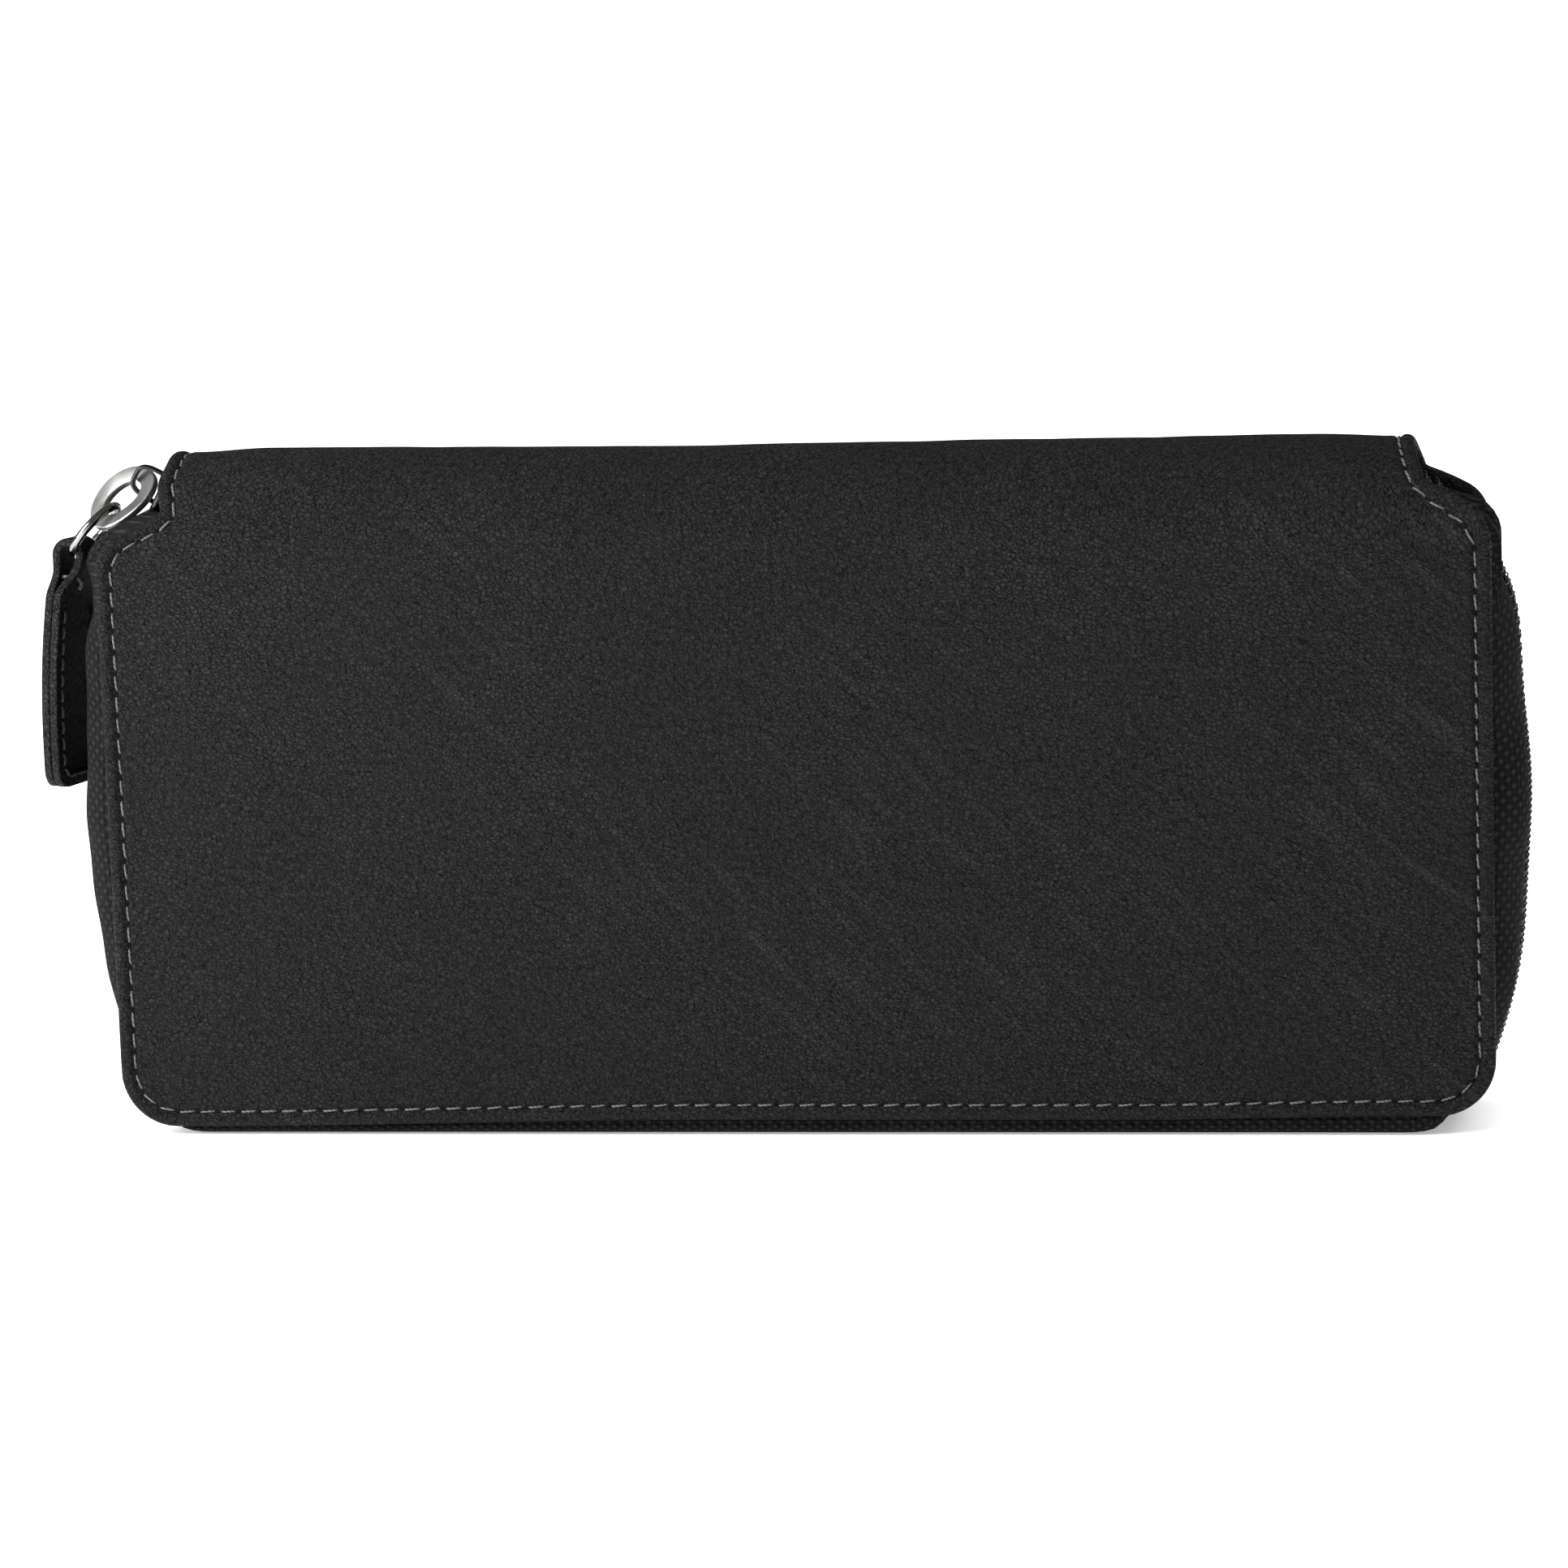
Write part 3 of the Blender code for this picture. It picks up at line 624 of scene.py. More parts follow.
def stitches(name, side):
    """Saddle stitches: short slanted bars of thread between needle holes, drawn as near-black
    discs of painted shade.
    """
    line = stitch_line()
    holes, ahead = resample(line, STITCH_PITCH)
    rng = random.Random(11 + side)
    threads, pits = [], []
    for i in range(len(holes) - 1):
        a, b = holes[i], holes[i + 1]
        along = (b - a) / np.linalg.norm(b - a)
        across = np.array([-along[1], along[0]])
        slant = 0.13 + 0.05 * rng.uniform(-1, 1)
        share = np.array([0.15, 0.19, 0.27, 0.42, 0.58, 0.73, 0.81, 0.85])
        lifts = np.array([-0.3, -0.03, 0.07, 0.12, 0.12, 0.07, -0.03, -0.3])
        lifts[2:6] += 0.04 * rng.uniform(-1, 1)
        path = a + np.outer(share, b - a) + np.outer((share - 0.5) * 2 * slant, across)
        points = on_cover(path[:, 0], path[:, 1], lifts, side)
        threads.append(tube(points, 0.165 + 0.02 * rng.uniform(-1, 1), 8))
    # Each needle hole is a near-black disc laid on the leather: painted shade, not a hole.
    for hole, way in zip(holes[:-1], ahead[:-1]):
        across = np.array([-way[1], way[0]])
        ring = [hole + way * 0.44 * math.cos(t) + across * 0.24 * math.sin(t)
                for t in np.linspace(0, math.tau, 12, endpoint=False)]
        ring = np.array(ring + [hole])
        top = on_cover(ring[:, 0], ring[:, 1], np.array([0.015] * 12 + [0.03]), side)
        low = on_cover(ring[:, 0], ring[:, 1], np.array([-0.1] * 13), side)
        verts = [*top, *low]
        faces = [(12, k, (k + 1) % 12) for k in range(12)]
        faces += [(25, 13 + (k + 1) % 12, 13 + k) for k in range(12)]
        faces += [(k, 13 + k, 13 + (k + 1) % 12, (k + 1) % 12) for k in range(12)]
        pits.append((verts, faces))
    sewn = make(name, *merge(threads), MATS["thread"])
    pit = make(name + "_holes", *merge(pits), MATS["hole"])
    for obj in (sewn, pit):
        fold_blend(obj)


def build_cover():
    for side, body in ((-1, "front"), (1, "back")):
        cover = cover_half("cover_" + body, side)
        fold_blend(cover)
        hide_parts("outer_" + body, "outer_spine")
        stitches("stitching_" + body, side)


# ---------------------------------------------------------------- the zip
ZIP_SWELL = ((3.1, 73.0), (-0.8, 34.0))
SWELL_REACH = 11.0
ZIP_END_TUCK = 3.4


def zip_path(step=1.2, top_deg=ZIP_TOP_DEG):
    """Outer line of the zip as (x, z, outward x, outward z, run along it)."""
    reach = ARC_R - ZIP_CORNER
    sink = math.degrees(math.asin((ARC_Z - ZIP_CORNER) / reach))
    corner_x = ARC_X + reach * math.cos(math.radians(sink))
    arcs = ((-ARC_X, ARC_Z, ARC_R, top_deg, 180 + sink),
            (-corner_x, ZIP_CORNER, ZIP_CORNER, 180 + sink, 270),
            (corner_x, ZIP_CORNER, ZIP_CORNER, 270, 360 - sink),
            (ARC_X, ARC_Z, ARC_R, 360 - sink, 540 - top_deg))
    line = []
    for cx, cz, radius, start, end in arcs:
        count = max(int(radius * math.radians(end - start) / (step * 0.5)), 6)
        for i in range(count + 1):
            turn = math.radians(start + (end - start) * i / count)
            out = (math.cos(turn), math.sin(turn))
            point = (cx + radius * out[0], cz + radius * out[1], *out)
            if not line or math.dist(line[-1][:2], point[:2]) > 1e-6:
                line.append(point)
    even, _ = resample([p[:2] for p in line], step)
    run = np.concatenate([[0], np.cumsum([math.dist(a[:2], b[:2])
                                          for a, b in zip(line, line[1:])])])
    at = np.linspace(0, run[-1], len(even))
    turned = np.unwrap([math.atan2(p[3], p[2]) for p in line])
    angle = np.interp(at, run, turned)
    xs = np.interp(at, run, [p[0] for p in line])
    zs = np.interp(at, run, [p[1] for p in line])
    swell = sum(rise * np.exp(-((zs - middle) / SWELL_REACH) ** 2)
                for rise, middle in ZIP_SWELL)
    swell = swell - ZIP_END_TUCK * smooth_step(zs, 87.0, 91.5)
    xs = xs + swell * np.cos(angle)
    zs = zs + swell * np.sin(angle)
    return np.stack([xs, zs, np.cos(angle), np.sin(angle), at], 1)


def under_cover(y, z):
    """Draws a Y in towards the middle where the spine curves over the zip's ends."""
    rise = np.clip(z - SPINE_Z, 0, 10.5) / 11.5
    return np.where(y < 3.6, y, y * np.sqrt(1 - rise ** 2))


TAPE_OUTER = ((0.15, 2.05), (2.6, 2.0), (3.3, 1.35), (3.9, 0.72), (4.6, 0.50), (5.4, 0.46),
              (6.2, 0.50), (7.0, 0.62), (7.9, 0.92), (8.8, 1.42), (9.6, 2.05),
              (10.4, 2.95), (11.0, 3.9), (11.3, 5.0), (11.42, 6.4), (11.45, 9.3))
TAPE_FOOT = ((0.15, 2.05), (2.6, 2.0), (3.3, 1.35), (3.9, 0.72), (4.6, 0.40), (5.6, 0.20),
             (6.8, 0.12), (8.0, 0.10), (9.2, 0.10), (10.4, 0.10), (11.4, 0.14), (12.1, 0.32),
             (12.3, 0.65), (11.9, 1.10), (11.45, 2.2), (11.45, 9.3))
TAPE_THICK = 0.48
TAPE_SHOWN = 1.3
TAPE_SHOWN_MORE = 1.3


def tape(side, name, body):
    """Woven tape from under the coil, out round the edge and up under the panel."""
    path = zip_path(1.4)
    outer = np.array(TAPE_OUTER)

    def band(face):
        ahead = unit_steps(face)
        inner = face + np.stack([-ahead[:, 1], ahead[:, 0]], 1) * TAPE_THICK
        return np.concatenate([face, inner[::-1]])

    full, foot = band(outer), band(np.array(TAPE_FOOT))  # at the ends, and on the table
    widths = np.concatenate([[0], np.cumsum(np.linalg.norm(np.diff(outer, axis=0), axis=1))])
    across = np.concatenate([widths, widths[::-1] + 0.3])
    widest = np.concatenate([outer, outer[::-1]])
    rings, uvs = [], []
    for x, z, ox, oz, run in path:
        share = float(smooth_step(-oz, 0.80, 0.97))
        section = full + (foot - full) * share
        ripple = 0.14 * math.sin(run * 0.21 + side) + 0.10 * math.sin(run * 0.53 + 2 * side)
        depth = section[:, 1] + ripple * smooth_step(section[:, 0], 3.5, 7.5) \
            * (1 - smooth_step(section[:, 0], 9.5, 11.2)) * (0.35 if z < 8 else 1.0)
        px = x - depth * ox
        pz = z - depth * oz
        shown = TAPE_SHOWN + TAPE_SHOWN_MORE * (x < 0) * smooth_step(pz, 78.0, 83.0)
        past = half_width(pz - PANEL_Z) + shown - (section[:, 1] > widest[:, 1] + 0.3) * 0.4
        reach = np.clip(past - np.abs(px), 0, 6) * smooth_step(section[:, 0], 3.4, 6.0)
        reach = reach * (1 - smooth_step(section[:, 0], 9.6, 11.0)) * (z > 30)
        late = 3.0 if x < 0 else 0.0
        reach = reach * (1 - smooth_step(pz, 85.0 + late, 88.5 + late))
        px = px + np.sign(px) * reach
        py = side * under_cover(section[:, 0], pz)
        rings.append(np.stack([px, py, pz], 1))
        uvs.append(np.stack([np.full(len(section), run), across], 1))
    obj = make(name, *loft(rings), MATS["tape"], np.concatenate(uvs))
    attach(obj, body)
    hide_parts(body + "_tape")


COIL_PITCH = 1.73


def coil(side, name, body):
    """One half of the coil: a row of nylon loops, each with its head past the middle."""
    top = ZIP_TOP_DEG + 0.8
    path = zip_path(COIL_PITCH, top)
    loops = []
    profile = ((2.95, 1.75), (3.0, 1.1), (2.75, 0.52), (2.1, 0.36), (1.0, 0.34),
               (0.1, 0.36), (-0.45, 0.55), (-0.72, 1.05), (-0.5, 1.6), (0.3, 1.8))
    for k, (x, z, ox, oz, run) in enumerate(path[:-1]):
        offset = COIL_PITCH * (0.25 if side > 0 else 0.75)
        points = []
        for j, (y, depth) in enumerate(profile):
            lean = offset + 0.22 * (j / len(profile) - 0.5)
            px = x - oz * lean - depth * ox
            pz = z + ox * lean - depth * oz
            points.append((px, side * y, pz))
        loops.append(tube(points, 0.34, 7))
    obj = make(name, *merge(loops), MATS["coil"])
    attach(obj, body)
    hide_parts(body + "_chain")
    sewing = []
    for x, z, ox, oz, run in path[:-1]:
        for step in (0.2, 1.06):
            a = (x - oz * step - 0.40 * ox, side * 1.9, z + ox * step - 0.40 * oz)
            b = (x - oz * (step + 0.75) - 0.02 * ox, side * 2.0,
                 z + ox * (step + 0.75) - 0.02 * oz)
            c = (x - oz * (step + 1.2) - 0.40 * ox, side * 1.9,
                 z + ox * (step + 1.2) - 0.40 * oz)
            sewing.append(tube([a, b, c], 0.13, 5))
    seam = make(name + "_seam", *merge(sewing), MATS["dark_thread"])
    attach(seam, body)


def build_zip():
    for side, body in ((-1, "front"), (1, "back")):
        tape(side, body + "_zip_tape", body)
        coil(side, body + "_zip_coil", body)


# ---------------------------------------------------------------- slider and pull
def zip_frame(degrees):
    """Point on the left arc of the zip, the way along it and the way out."""
    turn = math.radians(degrees)
    out = Vector((math.cos(turn), 0, math.sin(turn)))
    along = Vector((-out.z, 0, out.x))
    return Vector((-ARC_X, 0, ARC_Z)) + out * ARC_R, along, out


def rounded_plate(base, along, across, normal, half_widths, levels, edge=0.25):
    """Plate with a curved side outline and softened edges; half_widths is (t, width)."""
    rings = []
    for level, inset in ((levels[0], edge), (levels[0] + edge, 0.0),
                         (levels[1] - edge, 0.0), (levels[1], edge)):
        ring = []
        ends = half_widths[0][0], half_widths[-1][0]
        middle = (ends[0] + ends[1]) / 2
        side_points = list(half_widths) + [(t, -w) for t, w in reversed(half_widths)]
        for t, w in side_points:
            shrink_t = (t - middle) * (1 - inset / (ends[1] - middle))
            shrink_w = w - math.copysign(min(inset, abs(w)), w) if w else 0.0
            ring.append(base + along * (middle + shrink_t) + across * shrink_w
                        + normal * level)
        rings.append(ring)
    return loft(rings)


SLIDER_AT = 149.0


def slider_body():
    base, along, out = zip_frame(SLIDER_AT)
    across = Vector((0, 1, 0))
    shape = [(4.0, 1.9), (3.8, 2.5), (2.6, 2.75), (0.6, 2.9), (-1.2, 3.4), (-2.6, 3.75),
             (-3.5, 3.5), (-4.0, 2.6)]
    top = rounded_plate(base, along, across, out, shape, (0.32, 1.6), 0.3)
    low = rounded_plate(base, along, across, out, shape, (-3.75, -2.72), 0.25)
    fin = rounded_plate(base - along * 2.6 - across * 0.8, along, across, out,
                        [(1.1, 0.1), (0.6, 0.28), (-0.6, 0.28), (-1.2, 0.12)],
                        (-2.9, 0.5), 0.05)
    obj = make("zip_slider", *merge([top, low, fin]), MATS["slider"], sharp=50)
    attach(obj, "slider")
    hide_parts("slider_body")
    half, foot, crest, seat = 2.1, 1.55, 6.0, -1.5
    last = 24
    arch = []
    for i in range(last + 1):
        turn = math.pi * i / last
        t = half * math.copysign(abs(math.cos(turn)) ** 0.55, math.cos(turn))
        rise = foot + (crest - foot) * math.sin(turn) ** 0.55
        arch.append(base + along * (t + seat) + out * rise)
    rings = []
    for i, p in enumerate(arch):
        step = (arch[min(i + 1, last)] - arch[max(i - 1, 0)]).normalized()
        normal = step.cross(across).normalized()
        ring = []
        for k in range(12):
            a = math.tau * k / 12
            ring.append(p + across * 0.62 * math.cos(a) + normal * 0.36 * math.sin(a))
        rings.append(ring)
    crown = make("slider_bridge", *loft(rings), MATS["slider"])
    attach(crown, "slider")
    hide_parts("slider_crown")


def joint_at(name):
    return Vector(JOINTS[name]["pos_m"]) / MM


def dipped_axes(dip_deg, roll_deg):
    """Axes of a flat link that hangs down the arc and is rolled about its length."""
    dip, roll = math.radians(dip_deg), math.radians(roll_deg)
    along = Vector((-math.cos(dip), 0, -math.sin(dip)))
    lift = Vector((-math.sin(dip), 0, math.cos(dip)))
    across = Vector((0, math.cos(roll), 0)) + lift * math.sin(roll)
    return along, across, along.cross(across).normalized()


TAB = {"length": 11.4, "width": 10.0, "rim": 2.45, "thick": 1.1, "dip": 33.0, "roll": 39.0,
       "cup": 0.02}
RING = {"radius": 4.5, "rod": 0.62, "dip": 48.0, "roll": -6.0}


def pull_tab():
    """Flat oval ring with softened edges."""
    along, across, normal = dipped_axes(TAB["dip"], TAB["roll"])
    centre = joint_at("pull_tab_swing") + along * (TAB["length"] - TAB["rim"]) / 2
    soft = 0.26
    rim, half = TAB["rim"], TAB["thick"] / 2
    section = []
    for inset, level, start in ((soft, half - soft, 90), (rim - soft, half - soft, 0),
                                (rim - soft, -half + soft, -90), (soft, -half + soft, -180)):
        for k in range(5):
            a = math.radians(start + (90 - 22.5 * k))
            section.append((inset + soft * math.cos(a), level + soft * math.sin(a)))
    rings = []
    for i in range(112):
        turn = math.tau * i / 112
        ring = []
        for inset, level in section:
            reach = (TAB["length"] / 2 - inset) * math.cos(turn)
            width = (TAB["width"] / 2 - inset) * math.sin(turn)
            cup = level - TAB["cup"] * width ** 2
            ring.append(centre + along * reach + across * width + normal * cup)
        rings.append(ring)
    obj = make("oval_tab", *loft(rings, closed=True), MATS["nickel"], sharp=40)
    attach(obj, "pull_tab")
    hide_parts("pull_tab")


def wire_ring():
    """Round wire bent to a ring, its two ends meeting with a hairline gap."""
    along, across, _ = dipped_axes(RING["dip"], RING["roll"])
    centre = joint_at("wire_ring_swing") + along * RING["radius"]
    start = math.radians(60)
    points = []
    for i in range(97):
        turn = start + (math.tau - 0.03) * i / 96
        points.append(centre + (along * math.cos(turn) + across * math.sin(turn))
                      * RING["radius"])
    rings = []
    for i, p in enumerate(points):
        out = (p - centre).normalized()
        normal = along.cross(across).normalized()
        rings.append([p + (out * math.cos(a) + normal * math.sin(a)) * RING["rod"]
                      for a in (math.tau * k / 16 for k in range(16))])
    obj = make("split_ring", *loft(rings), MATS["dark_nickel"], sharp=60)
    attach(obj, "wire_ring")
    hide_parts("wire_ring")


PULL_STITCH_PITCH = 2.3
PULL = {"length": 33.0, "half": 6.0, "neck": 2.6, "strip": 1.22,
        "eye": 1.25, "lean": 4.0, "twist": 11.0}


def pull_place(across, low, edge):
    """From the pull's own plane (sideways, down, edgewise) to the frame."""
    lean, twist = math.radians(PULL["lean"]), math.radians(PULL["twist"])
    x = across * math.cos(twist) + edge * math.sin(twist)
    y = edge * math.cos(twist) - across * math.sin(twist)
    return joint_at("leather_pull_swing") + Vector((
        x * math.cos(lean) - low * math.sin(lean), y,
        -low * math.cos(lean) - x * math.sin(lean)))


def pull_half(drop):
    """Half width of the pull at a drop below the ring: neck, shoulder, rounded end."""
    grow = float(smooth_step(drop, 1.6, 5.6))
    width = PULL["neck"] + (PULL["half"] - PULL["neck"]) * grow
    end = PULL["length"] - drop
    corner = 2.6
    if end < corner:
        width -= corner - math.sqrt(max(corner ** 2 - (corner - end) ** 2, 0))
    return width


def pull_bow(drop):
    """How far the pull bends sideways at a drop below the ring."""
    return 0.9 * math.sin(math.pi * min(max(drop / PULL["length"], 0), 1))


def pull_line():
    """Middle line of the folded strip as (sideways, down, half width)."""
    gap = PULL["strip"] / 2 + 0.02
    eye = PULL["eye"] + PULL["strip"] / 2
    drops = np.concatenate([PULL["length"] - np.array([0.0, 0.1, 0.3, 0.6, 1.0, 1.6, 2.3]),
                            np.arange(PULL["length"] - 3.4, 1.2, -0.7)])
    open_part = (eye * 0.96 - gap) * (1 - smooth_step(drops, 0.2, 5.5))
    left = [(-gap - w - pull_bow(d), d, pull_half(d)) for d, w in zip(drops, open_part)]
    loop = []
    for i in range(25):
        turn = math.radians(194 - 208 * i / 24)
        loop.append((eye * math.cos(turn), -eye * math.sin(turn), PULL["neck"]))
    right = [(gap + w - pull_bow(d), d, pull_half(d)) for d, w in zip(drops, open_part)]
    return left + loop + right[::-1]


def leather_pull():
    """One strip folded over the ring, edges painted, its halves sewn together."""
    line = pull_line()
    rings = []
    last = len(line) - 1
    half_t = PULL["strip"] / 2
    for i, (side, drop, half) in enumerate(line):
        a, b = line[max(i - 1, 0)], line[min(i + 1, last)]
        step = Vector((b[0] - a[0], b[1] - a[1])).normalized()
        ring = []
        soft = 0.3
        for edge_sign, off_sign in ((-1, -1), (1, -1), (1, 1), (-1, 1)):
            for k in range(4):
                base = {(-1, -1): 180, (1, -1): 270, (1, 1): 0, (-1, 1): 90}
                a_deg = math.radians(base[(edge_sign, off_sign)] + 30 * k)
                edge = edge_sign * (half - soft) + soft * math.cos(a_deg)
                off = off_sign * (half_t - soft) + soft * math.sin(a_deg)
                ring.append(pull_place(side + step.y * off, drop - step.x * off, edge))
        rings.append(ring)
    obj = make("leather_puller", *loft(rings), MATS["pull"], sharp=60)
    obj.data.materials.append(MATS["pull_edge"])
    for face in obj.data.polygons:
        face.material_index = int(abs(face.normal.y) > 0.55)
    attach(obj, "leather_pull")
    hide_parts("leather_pull")
    threads, pits = [], []
    inset = 1.5
    down = [(pull_half(d) - inset, d) for d in np.arange(7.4, PULL["length"] - 1.4, 0.5)]
    line = [(-e, d) for e, d in down] + [(e, d) for e, d in down[::-1]]
    holes, _ = resample(line, PULL_STITCH_PITCH)
    face = PULL["strip"] + 0.02
    for sign in (-1, 1):
        for a, b in zip(holes[:-1], holes[1:]):
            points = []
            for share, lift in ((0.12, -0.25), (0.2, 0.08), (0.4, 0.2), (0.6, 0.2),
                                (0.8, 0.08), (0.88, -0.25)):
                e, d = a + (b - a) * share
                points.append(pull_place(sign * (face + lift) - pull_bow(d), d, e))
            threads.append(tube(points, 0.2, 7))
        # Needle holes on the pull: near-black discs laid on its faces, painted shade, not holes.
        for e, d in holes:
            ring = []
            for k in range(10):
                t = math.tau * k / 10
                ring.append((e + 0.3 * math.cos(t), d + 0.3 * math.sin(t)))
            outer = [pull_place(sign * (face + 0.02) - pull_bow(v), v, u) for u, v in ring]
            inner = [pull_place(sign * (face - 0.1) - pull_bow(v), v, u) for u, v in ring]
            pits.append(loft([outer, inner]))
    knot = [pull_place(x, low, e) for x, low, e in
            ((-1.3, 4.8, -1.2), (-1.75, 3.9, -1.4), (-1.5, 3.2, -2.2), (0.0, 3.0, -2.75),
             (1.5, 3.2, -2.2), (1.75, 3.9, -1.4), (1.3, 4.8, -1.2))]
    knots = [tube(knot, 0.26, 8)]
    tied = make("puller_knot", *merge(knots), MATS["thread"])
    sewn = make("puller_stitching", *merge(threads), MATS["dark_thread"])
    pit = make("puller_needle_holes", *merge(pits), MATS["hole"])
    for part in (sewn, pit, tied):
        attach(part, "leather_pull")


# ---------------------------------------------------------------- inside
def lining_half(side, body):
    """Cloth lining of one half, carried over the fold to the crest of the spine."""
    low, high = span(body + "_lining")
    depth = SPINE_R - abs(low[1] if side < 0 else high[1])
    bottom = low[2] - PANEL_Z
    rows = np.concatenate([np.linspace(bottom, STRAIGHT, 30),
                           np.linspace(STRAIGHT + 0.6, CREST, 22)])
    share = np.linspace(-1, 1, 61)
    verts, uvs = [], []
    corner = 9.0
    half = np.full(len(rows), high[0])
    rise = rows - (STRAIGHT - 9)
    half = half - smooth_step(rise, 0, 12) * (high[0] - 84.5)
    drop = np.clip(corner - (rows - bottom), 0, corner)
    half -= (corner - np.sqrt(corner ** 2 - drop ** 2)) * 0.4
    for layer in (0.0, 0.35):
        for s, w in zip(rows, half):
            inset = depth + layer + 0.09 * float(smooth_step(s, STRAIGHT - 8, STRAIGHT + 4))
            y, z = cover_place(s, inset, side)
            for u in share:
                verts.append((w * u, float(y), float(z)))
                uvs.append((w * u, s))
    faces = shell_faces(len(rows), len(share))
    obj = make("lining_" + body, verts, faces, MATS["lining"], uvs)
    fold_blend(obj)
    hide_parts(body + "_lining", "spine_lining")


def sewn_line(points, normal, pitch=2.4, radius=0.16, lift=0.1):
    """Small stitches along a line on a flat face."""
    holes, _ = resample(points, pitch)
    normal = np.asarray(normal, float)
    bars = []
    for a, b in zip(holes[:-1], holes[1:]):
        path = []
        for share, rise in ((0.12, -0.15), (0.25, 0.6), (0.5, 1.0), (0.75, 0.6), (0.88, -0.15)):
            path.append(a + (b - a) * share + normal * lift * rise)
        bars.append(tube(path, radius, 6))
    return bars


def pocket(node, body):
    """A leather pocket sheet: turned upper edge, crease under it, sewn sides and foot."""
    low, high = span(node)
    side = -1 if high[1] < 0 else 1
    inner_y = high[1] if side < 0 else low[1]
    outer_y = low[1] if side < 0 else high[1]
    rows = np.concatenate([np.linspace(low[2], high[2] - 5, 12),
                           np.linspace(high[2] - 4.6, high[2], 16)])
    cols = spread(low[0], high[0], 0.5, 3.0, 6.0)
    radius = 3.0
    verts, uvs = [], []
    for face in (0, 1):
        for z in rows:
            for x in cols:
                top = high[2] - z
                edge = min(top, x - low[0], high[0] - x)
                y = inner_y if face == 0 else outer_y
                if face == 0:
                    pad = 0.12 * float(smooth_step(edge, 0.0, 0.5))
                    crease = 0.16 * math.exp(-((top - 2.0) / 0.28) ** 2)
                    y = y + side * (0.12 - pad + crease)
                verts.append((x, y, z))
                uvs.append((x, z + 37 * face))
    for i, (x, y, z) in enumerate(verts):
        for cx, inward in ((low[0], 1), (high[0], -1)):
            for cz, up in ((low[2], 1), (high[2], -1)):
                dx, dz = (x - cx) * inward, (z - cz) * up
                if dx < radius and dz < radius:
                    u, v = 1 - dx / radius, 1 - dz / radius
                    nx = u * math.sqrt(max(1 - v * v / 2, 0))
                    nz = v * math.sqrt(max(1 - u * u / 2, 0))
                    verts[i] = (cx + inward * radius * (1 - nx), y,
                                cz + up * radius * (1 - nz))
    faces = shell_faces(len(rows), len(cols))
    obj = make(node + "_leather", verts, faces, MATS["pocket"], uvs, sharp=70)
    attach(obj, body)
    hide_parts(node)
    y = inner_y
    left, right, foot, top = low[0] + 1.6, high[0] - 1.6, low[2] + 1.6, high[2] - 1.0
    path = [(left, y, top), (left, y, foot), (right, y, foot), (right, y, top)]
    bars = sewn_line(path[:2], (0, -side, 0)) + sewn_line(path[1:3], (0, -side, 0))
    bars += sewn_line(path[2:], (0, -side, 0))
    seam = make(node + "_seam", *merge(bars), MATS["dark_thread"])
    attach(seam, body)


def panel_sheet(name, node, body, mat):
    """A cloth-covered flat piece of the coin page with softened edges."""
    low, high = span(node)
    mesh = bpy.data.meshes.new(name)
    work = bmesh.new()
    bmesh.ops.create_cube(work, size=1.0)
    size = high - low
    for v in work.verts:
        v.co = Vector((low + size * (np.array(v.co) + 0.5)) * MM)
    soft = min(size) * 0.32 * MM
    bmesh.ops.bevel(work, geom=work.edges[:], offset=soft, segments=3, affect="EDGES",
                    profile=0.6)
    work.to_mesh(mesh)
    work.free()
    mesh.shade_smooth()
    mesh.set_sharp_from_angle(angle=math.radians(60))
    mesh.materials.append(mat)
    obj = placed(name, mesh)
    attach(obj, body)
    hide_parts(node)


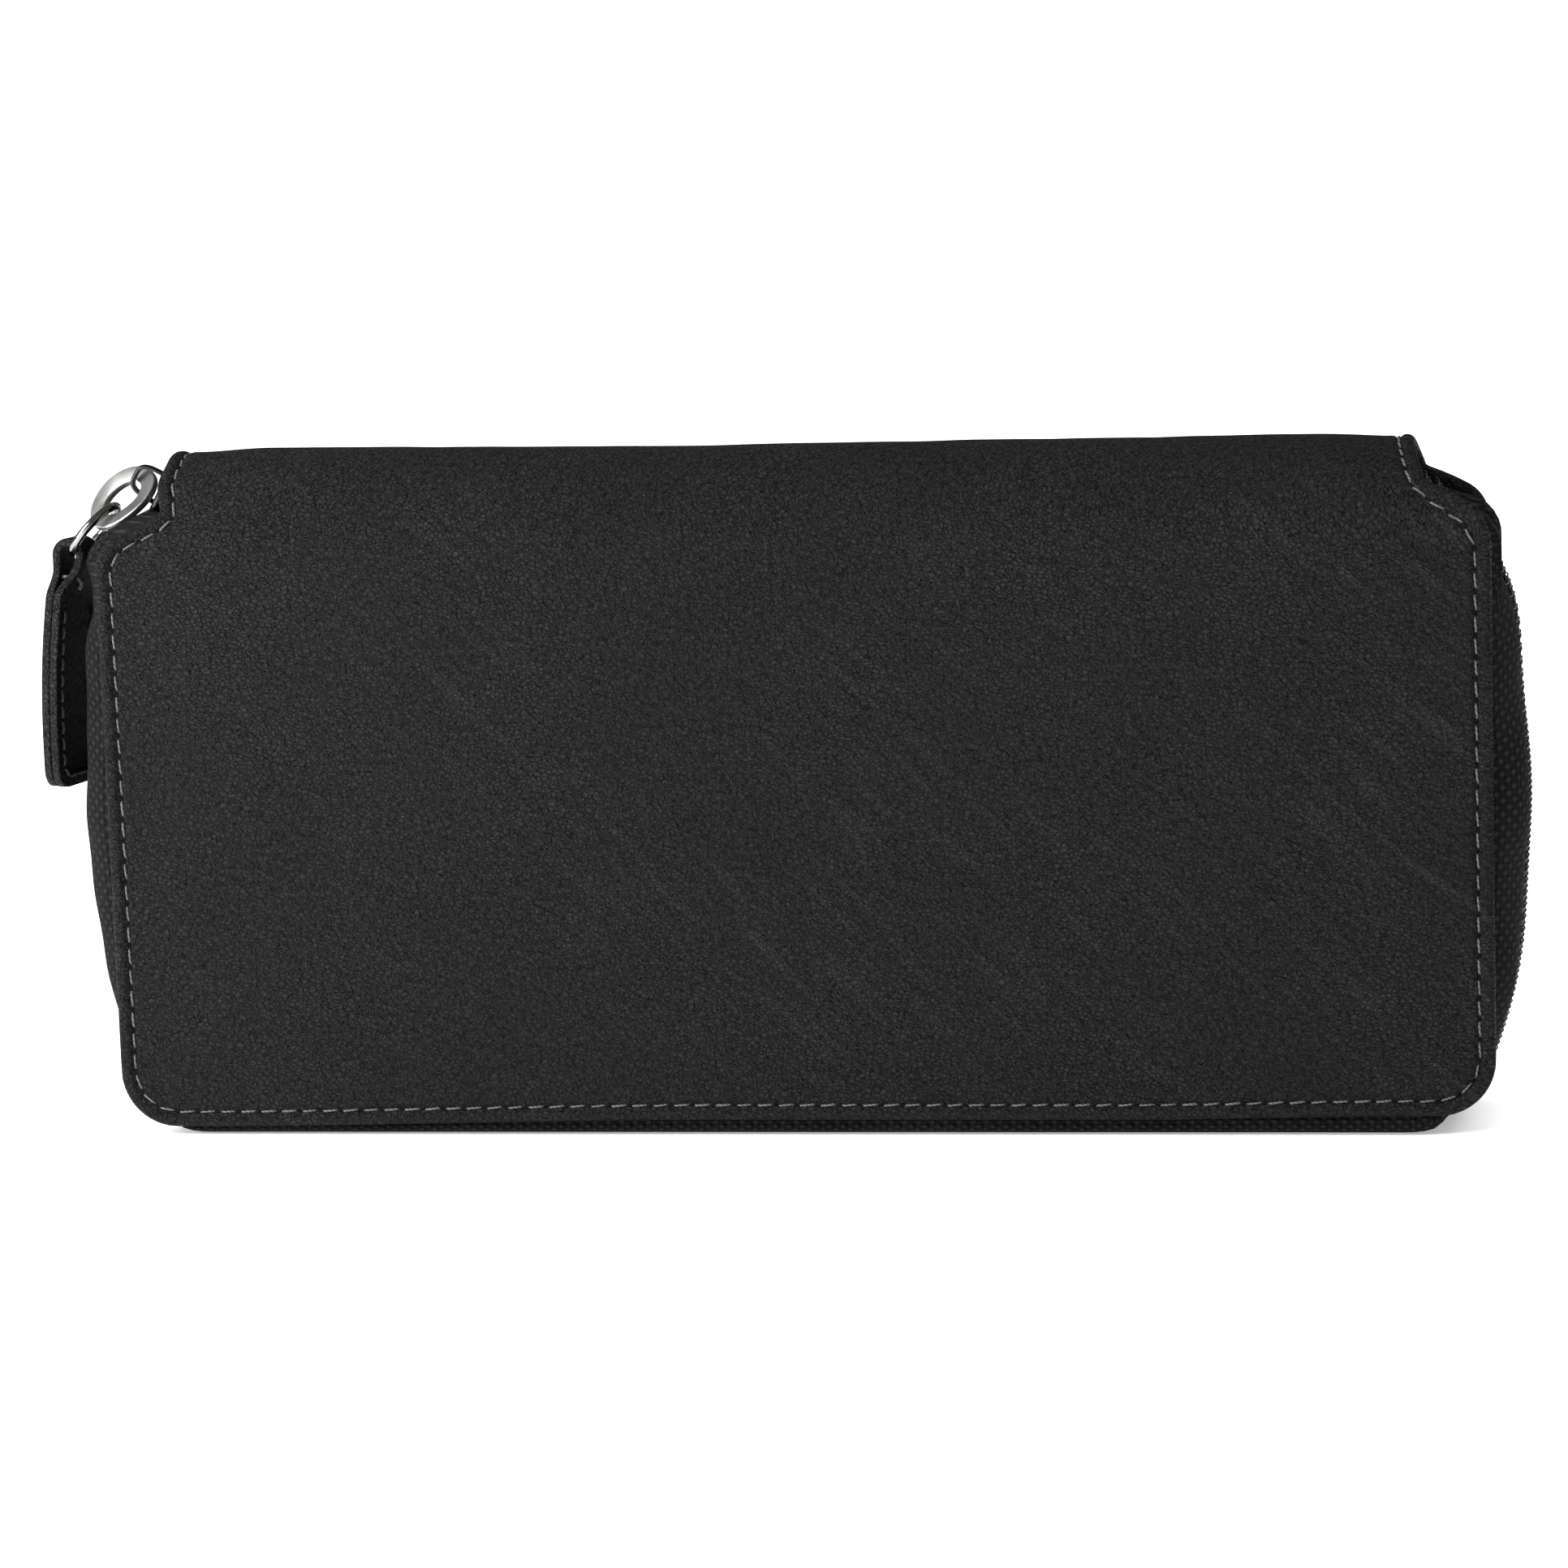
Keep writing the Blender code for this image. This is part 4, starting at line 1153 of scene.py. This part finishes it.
def coin_page():
    for node in ("coin_wall_front", "coin_wall_back", "coin_header", "coin_gusset_left",
                 "coin_gusset_right"):
        panel_sheet(node + "_cloth", node, "spine", MATS["page"])
    bars = []
    for node, side in (("coin_wall_front", -1), ("coin_wall_back", 1)):
        low, high = span(node)
        y = low[1] if side < 0 else high[1]
        left, right = low[0] + 1.8, high[0] - 1.8
        foot, top = low[2] + 1.8, high[2] - 1.8
        for a, b in (((left, top), (left, foot)), ((left, foot), (right, foot)),
                     ((right, foot), (right, top))):
            bars += sewn_line([(a[0], y, a[1]), (b[0], y, b[1])], (0, side, 0))
    seam = make("coin_page_seam", *merge(bars), MATS["dark_thread"])
    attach(seam, "spine")
    for node, side in (("coin_chain_front", -1), ("coin_chain_back", 1)):
        low, high = span(node)
        loops = []
        count = int((high[0] - low[0] - 2) / 1.4)
        for k in range(count):
            x = low[0] + 1.2 + 1.4 * (k + (0.25 if side > 0 else 0.75))
            profile = ((2.6, 2.6), (2.5, 1.2), (2.0, 0.5), (1.0, 0.35), (0.1, 0.4),
                       (-0.25, 0.9), (0.1, 1.4))
            loops.append(tube([(x, side * y, low[2] + d) for y, d in profile], 0.28, 6))
        obj = make(node + "_coil", *merge(loops), MATS["coil"])
        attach(obj, "spine")
        strip = [(low[0], side * 1.1, low[2] + 1.6), (high[0], side * 1.1, low[2] + 1.6)]
        rings = []
        for x, _, _ in strip:
            rings.append([(x, side * a, low[2] + b) for a, b in
                          ((0.2, 1.9), (2.65, 1.9), (2.9, 3.5), (2.55, 3.5), (2.3, 2.3),
                           (0.2, 2.3))])
        band = make(node + "_tape", *loft(rings), MATS["page"])
        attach(band, "spine")
        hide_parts(node)
    low, high = span("coin_slider")
    x = (low[0] + high[0]) / 2
    base = Vector((x, 0, low[2]))
    shape = [(-4.0, 1.3), (-3.4, 1.7), (-1.0, 1.75), (1.6, 1.9), (3.2, 1.9), (4.0, 1.2)]
    axes = (Vector((1, 0, 0)), Vector((0, 1, 0)), Vector((0, 0, 1)))
    plates = [rounded_plate(base, *axes, shape, (0.0, 1.0), 0.2),
              rounded_plate(base, *axes, shape, (float(high[2] - low[2]) - 0.9,
                                                 float(high[2] - low[2])), 0.2)]
    fin = rounded_plate(base + Vector((2.4, 0, 0)), *axes,
                        [(-0.9, 0.15), (0, 0.3), (0.9, 0.15)], (0.8, 4.8), 0.05)
    obj = make("coin_zip_slider", *merge(plates + [fin]), MATS["nickel"], sharp=50)
    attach(obj, "coin_slider")
    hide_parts("coin_slider")
    loop = [(x + 2.0 * math.cos(a), 0, float(low[2]) - 0.1 - 1.1 * math.sin(a))
            for a in np.linspace(0, math.pi, 13)]
    bridge = make("coin_slider_bridge", *tube(loop, 0.33, 8), MATS["nickel"])
    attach(bridge, "coin_slider")
    low, high = span("coin_pull")
    rings = []
    middle = Vector(((low[0] + high[0]) / 2, 0, (low[2] + high[2]) / 2))
    tall, wide = (high[2] - low[2]) / 2, (high[0] - low[0]) / 2
    for i in range(48):
        t = math.tau * i / 48
        ring = []
        for inset, level in ((0.12, 0.45), (1.05, 0.45), (1.2, 0.3), (1.2, -0.3),
                             (1.05, -0.45), (0.12, -0.45), (0.0, -0.3), (0.0, 0.3)):
            ring.append(middle + Vector(((wide - inset) * math.cos(t), level,
                                         (tall - inset) * math.sin(t))))
        rings.append(ring)
    obj = make("coin_zip_pull", *loft(rings, closed=True), MATS["nickel"], sharp=40)
    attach(obj, "coin_pull")
    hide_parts("coin_pull")


def build_inside():
    for side, body in ((-1, "front"), (1, "back")):
        lining_half(side, body)
        node = frame["nodes"][body + "_board"]
        node.data.materials.clear()
        node.data.materials.append(MATS["board"])
    for name in frame["nodes"]:
        if "_slot_" in name or name == "back_bill_pocket":
            pocket(name, name.split("_")[0])
    coin_page()


# ---------------------------------------------------------------- stage
CAMERA = {"yaw": 8.2, "pitch": 9.1, "roll": -1.81, "distance": 733.0, "lens": 120.0,
          "aim": (-2.2, 0.0, 47.5)}


def camera():
    yaw, pitch = math.radians(CAMERA["yaw"]), math.radians(CAMERA["pitch"])
    back = Vector((math.sin(yaw) * math.cos(pitch), -math.cos(yaw) * math.cos(pitch),
                   math.sin(pitch)))
    data = bpy.data.cameras.new("camera")
    data.lens = CAMERA["lens"]
    data.sensor_width = 36.0
    data.clip_start = 0.01
    obj = placed("camera", data)
    obj.location = (Vector(CAMERA["aim"]) + back * CAMERA["distance"]) * MM
    turned = (-back).to_track_quat("-Z", "Y").to_matrix()
    roll = Matrix.Rotation(math.radians(CAMERA["roll"]), 3, "Z")
    obj.rotation_euler = (turned @ roll).to_euler()
    bpy.context.scene.camera = obj


def area(name, place, target, size, power, mirrored=True):
    data = bpy.data.lights.new(name, "AREA")
    data.shape = "RECTANGLE"
    data.size, data.size_y = size
    data.energy = power
    obj = placed(name, data)
    obj.location = place
    obj.visible_glossy = mirrored
    obj.rotation_euler = (Vector(target) - Vector(place)).to_track_quat("-Z", "Y").to_euler()


def studio():
    mesh = bpy.data.meshes.new("floor")
    half = 1.6
    mesh.from_pydata([(-half, -half, 0), (half, -half, 0), (half, half, 0), (-half, half, 0)],
                     [], [(0, 1, 2, 3)])
    n = Nodes("floor_white", (0.90, 0.90, 0.90), 0.7, specular=0.2)
    n.set("Emission Color", (1, 1, 1, 1))
    n.set("Emission Strength", 0.38)
    haze = n.noise(n.coords(), 30, 2)
    mesh.materials.append(n.finish(n.mix(haze, (0.89, 0.89, 0.89), (0.91, 0.91, 0.91))))
    floor = placed("floor", mesh)
    floor.location.z = -0.0001
    world = bpy.data.worlds.new("studio")
    world.use_nodes = True
    sky = world.node_tree.nodes["Background"]
    sky.inputs[0].default_value = (1, 1, 1, 1)
    seen = world.node_tree.nodes.new("ShaderNodeLightPath")
    level = world.node_tree.nodes.new("ShaderNodeMapRange")
    level.inputs["To Min"].default_value = 0.16
    level.inputs["To Max"].default_value = 1.1
    world.node_tree.links.new(seen.outputs["Is Camera Ray"], level.inputs["Value"])
    world.node_tree.links.new(level.outputs["Result"], sky.inputs[1])
    bpy.context.scene.world = world
    middle = (0, 0, 0.05)
    area("key", (-0.40, -0.26, 0.22), (-0.02, 0, 0.045), (0.24, 0.34), 3.9)
    area("fill", (0.9, -0.9, 0.5), middle, (0.6, 0.8), 0.25)
    area("table", (0.0, 0.0, 3.0), (0, 0, 0), (5.0, 5.0), 240.0, mirrored=False)
    view = bpy.context.scene.view_settings
    view.view_transform = "Standard"


camera()
studio()
build_cover()
build_zip()
slider_body()
pull_tab()
wire_ring()
leather_pull()
build_inside()
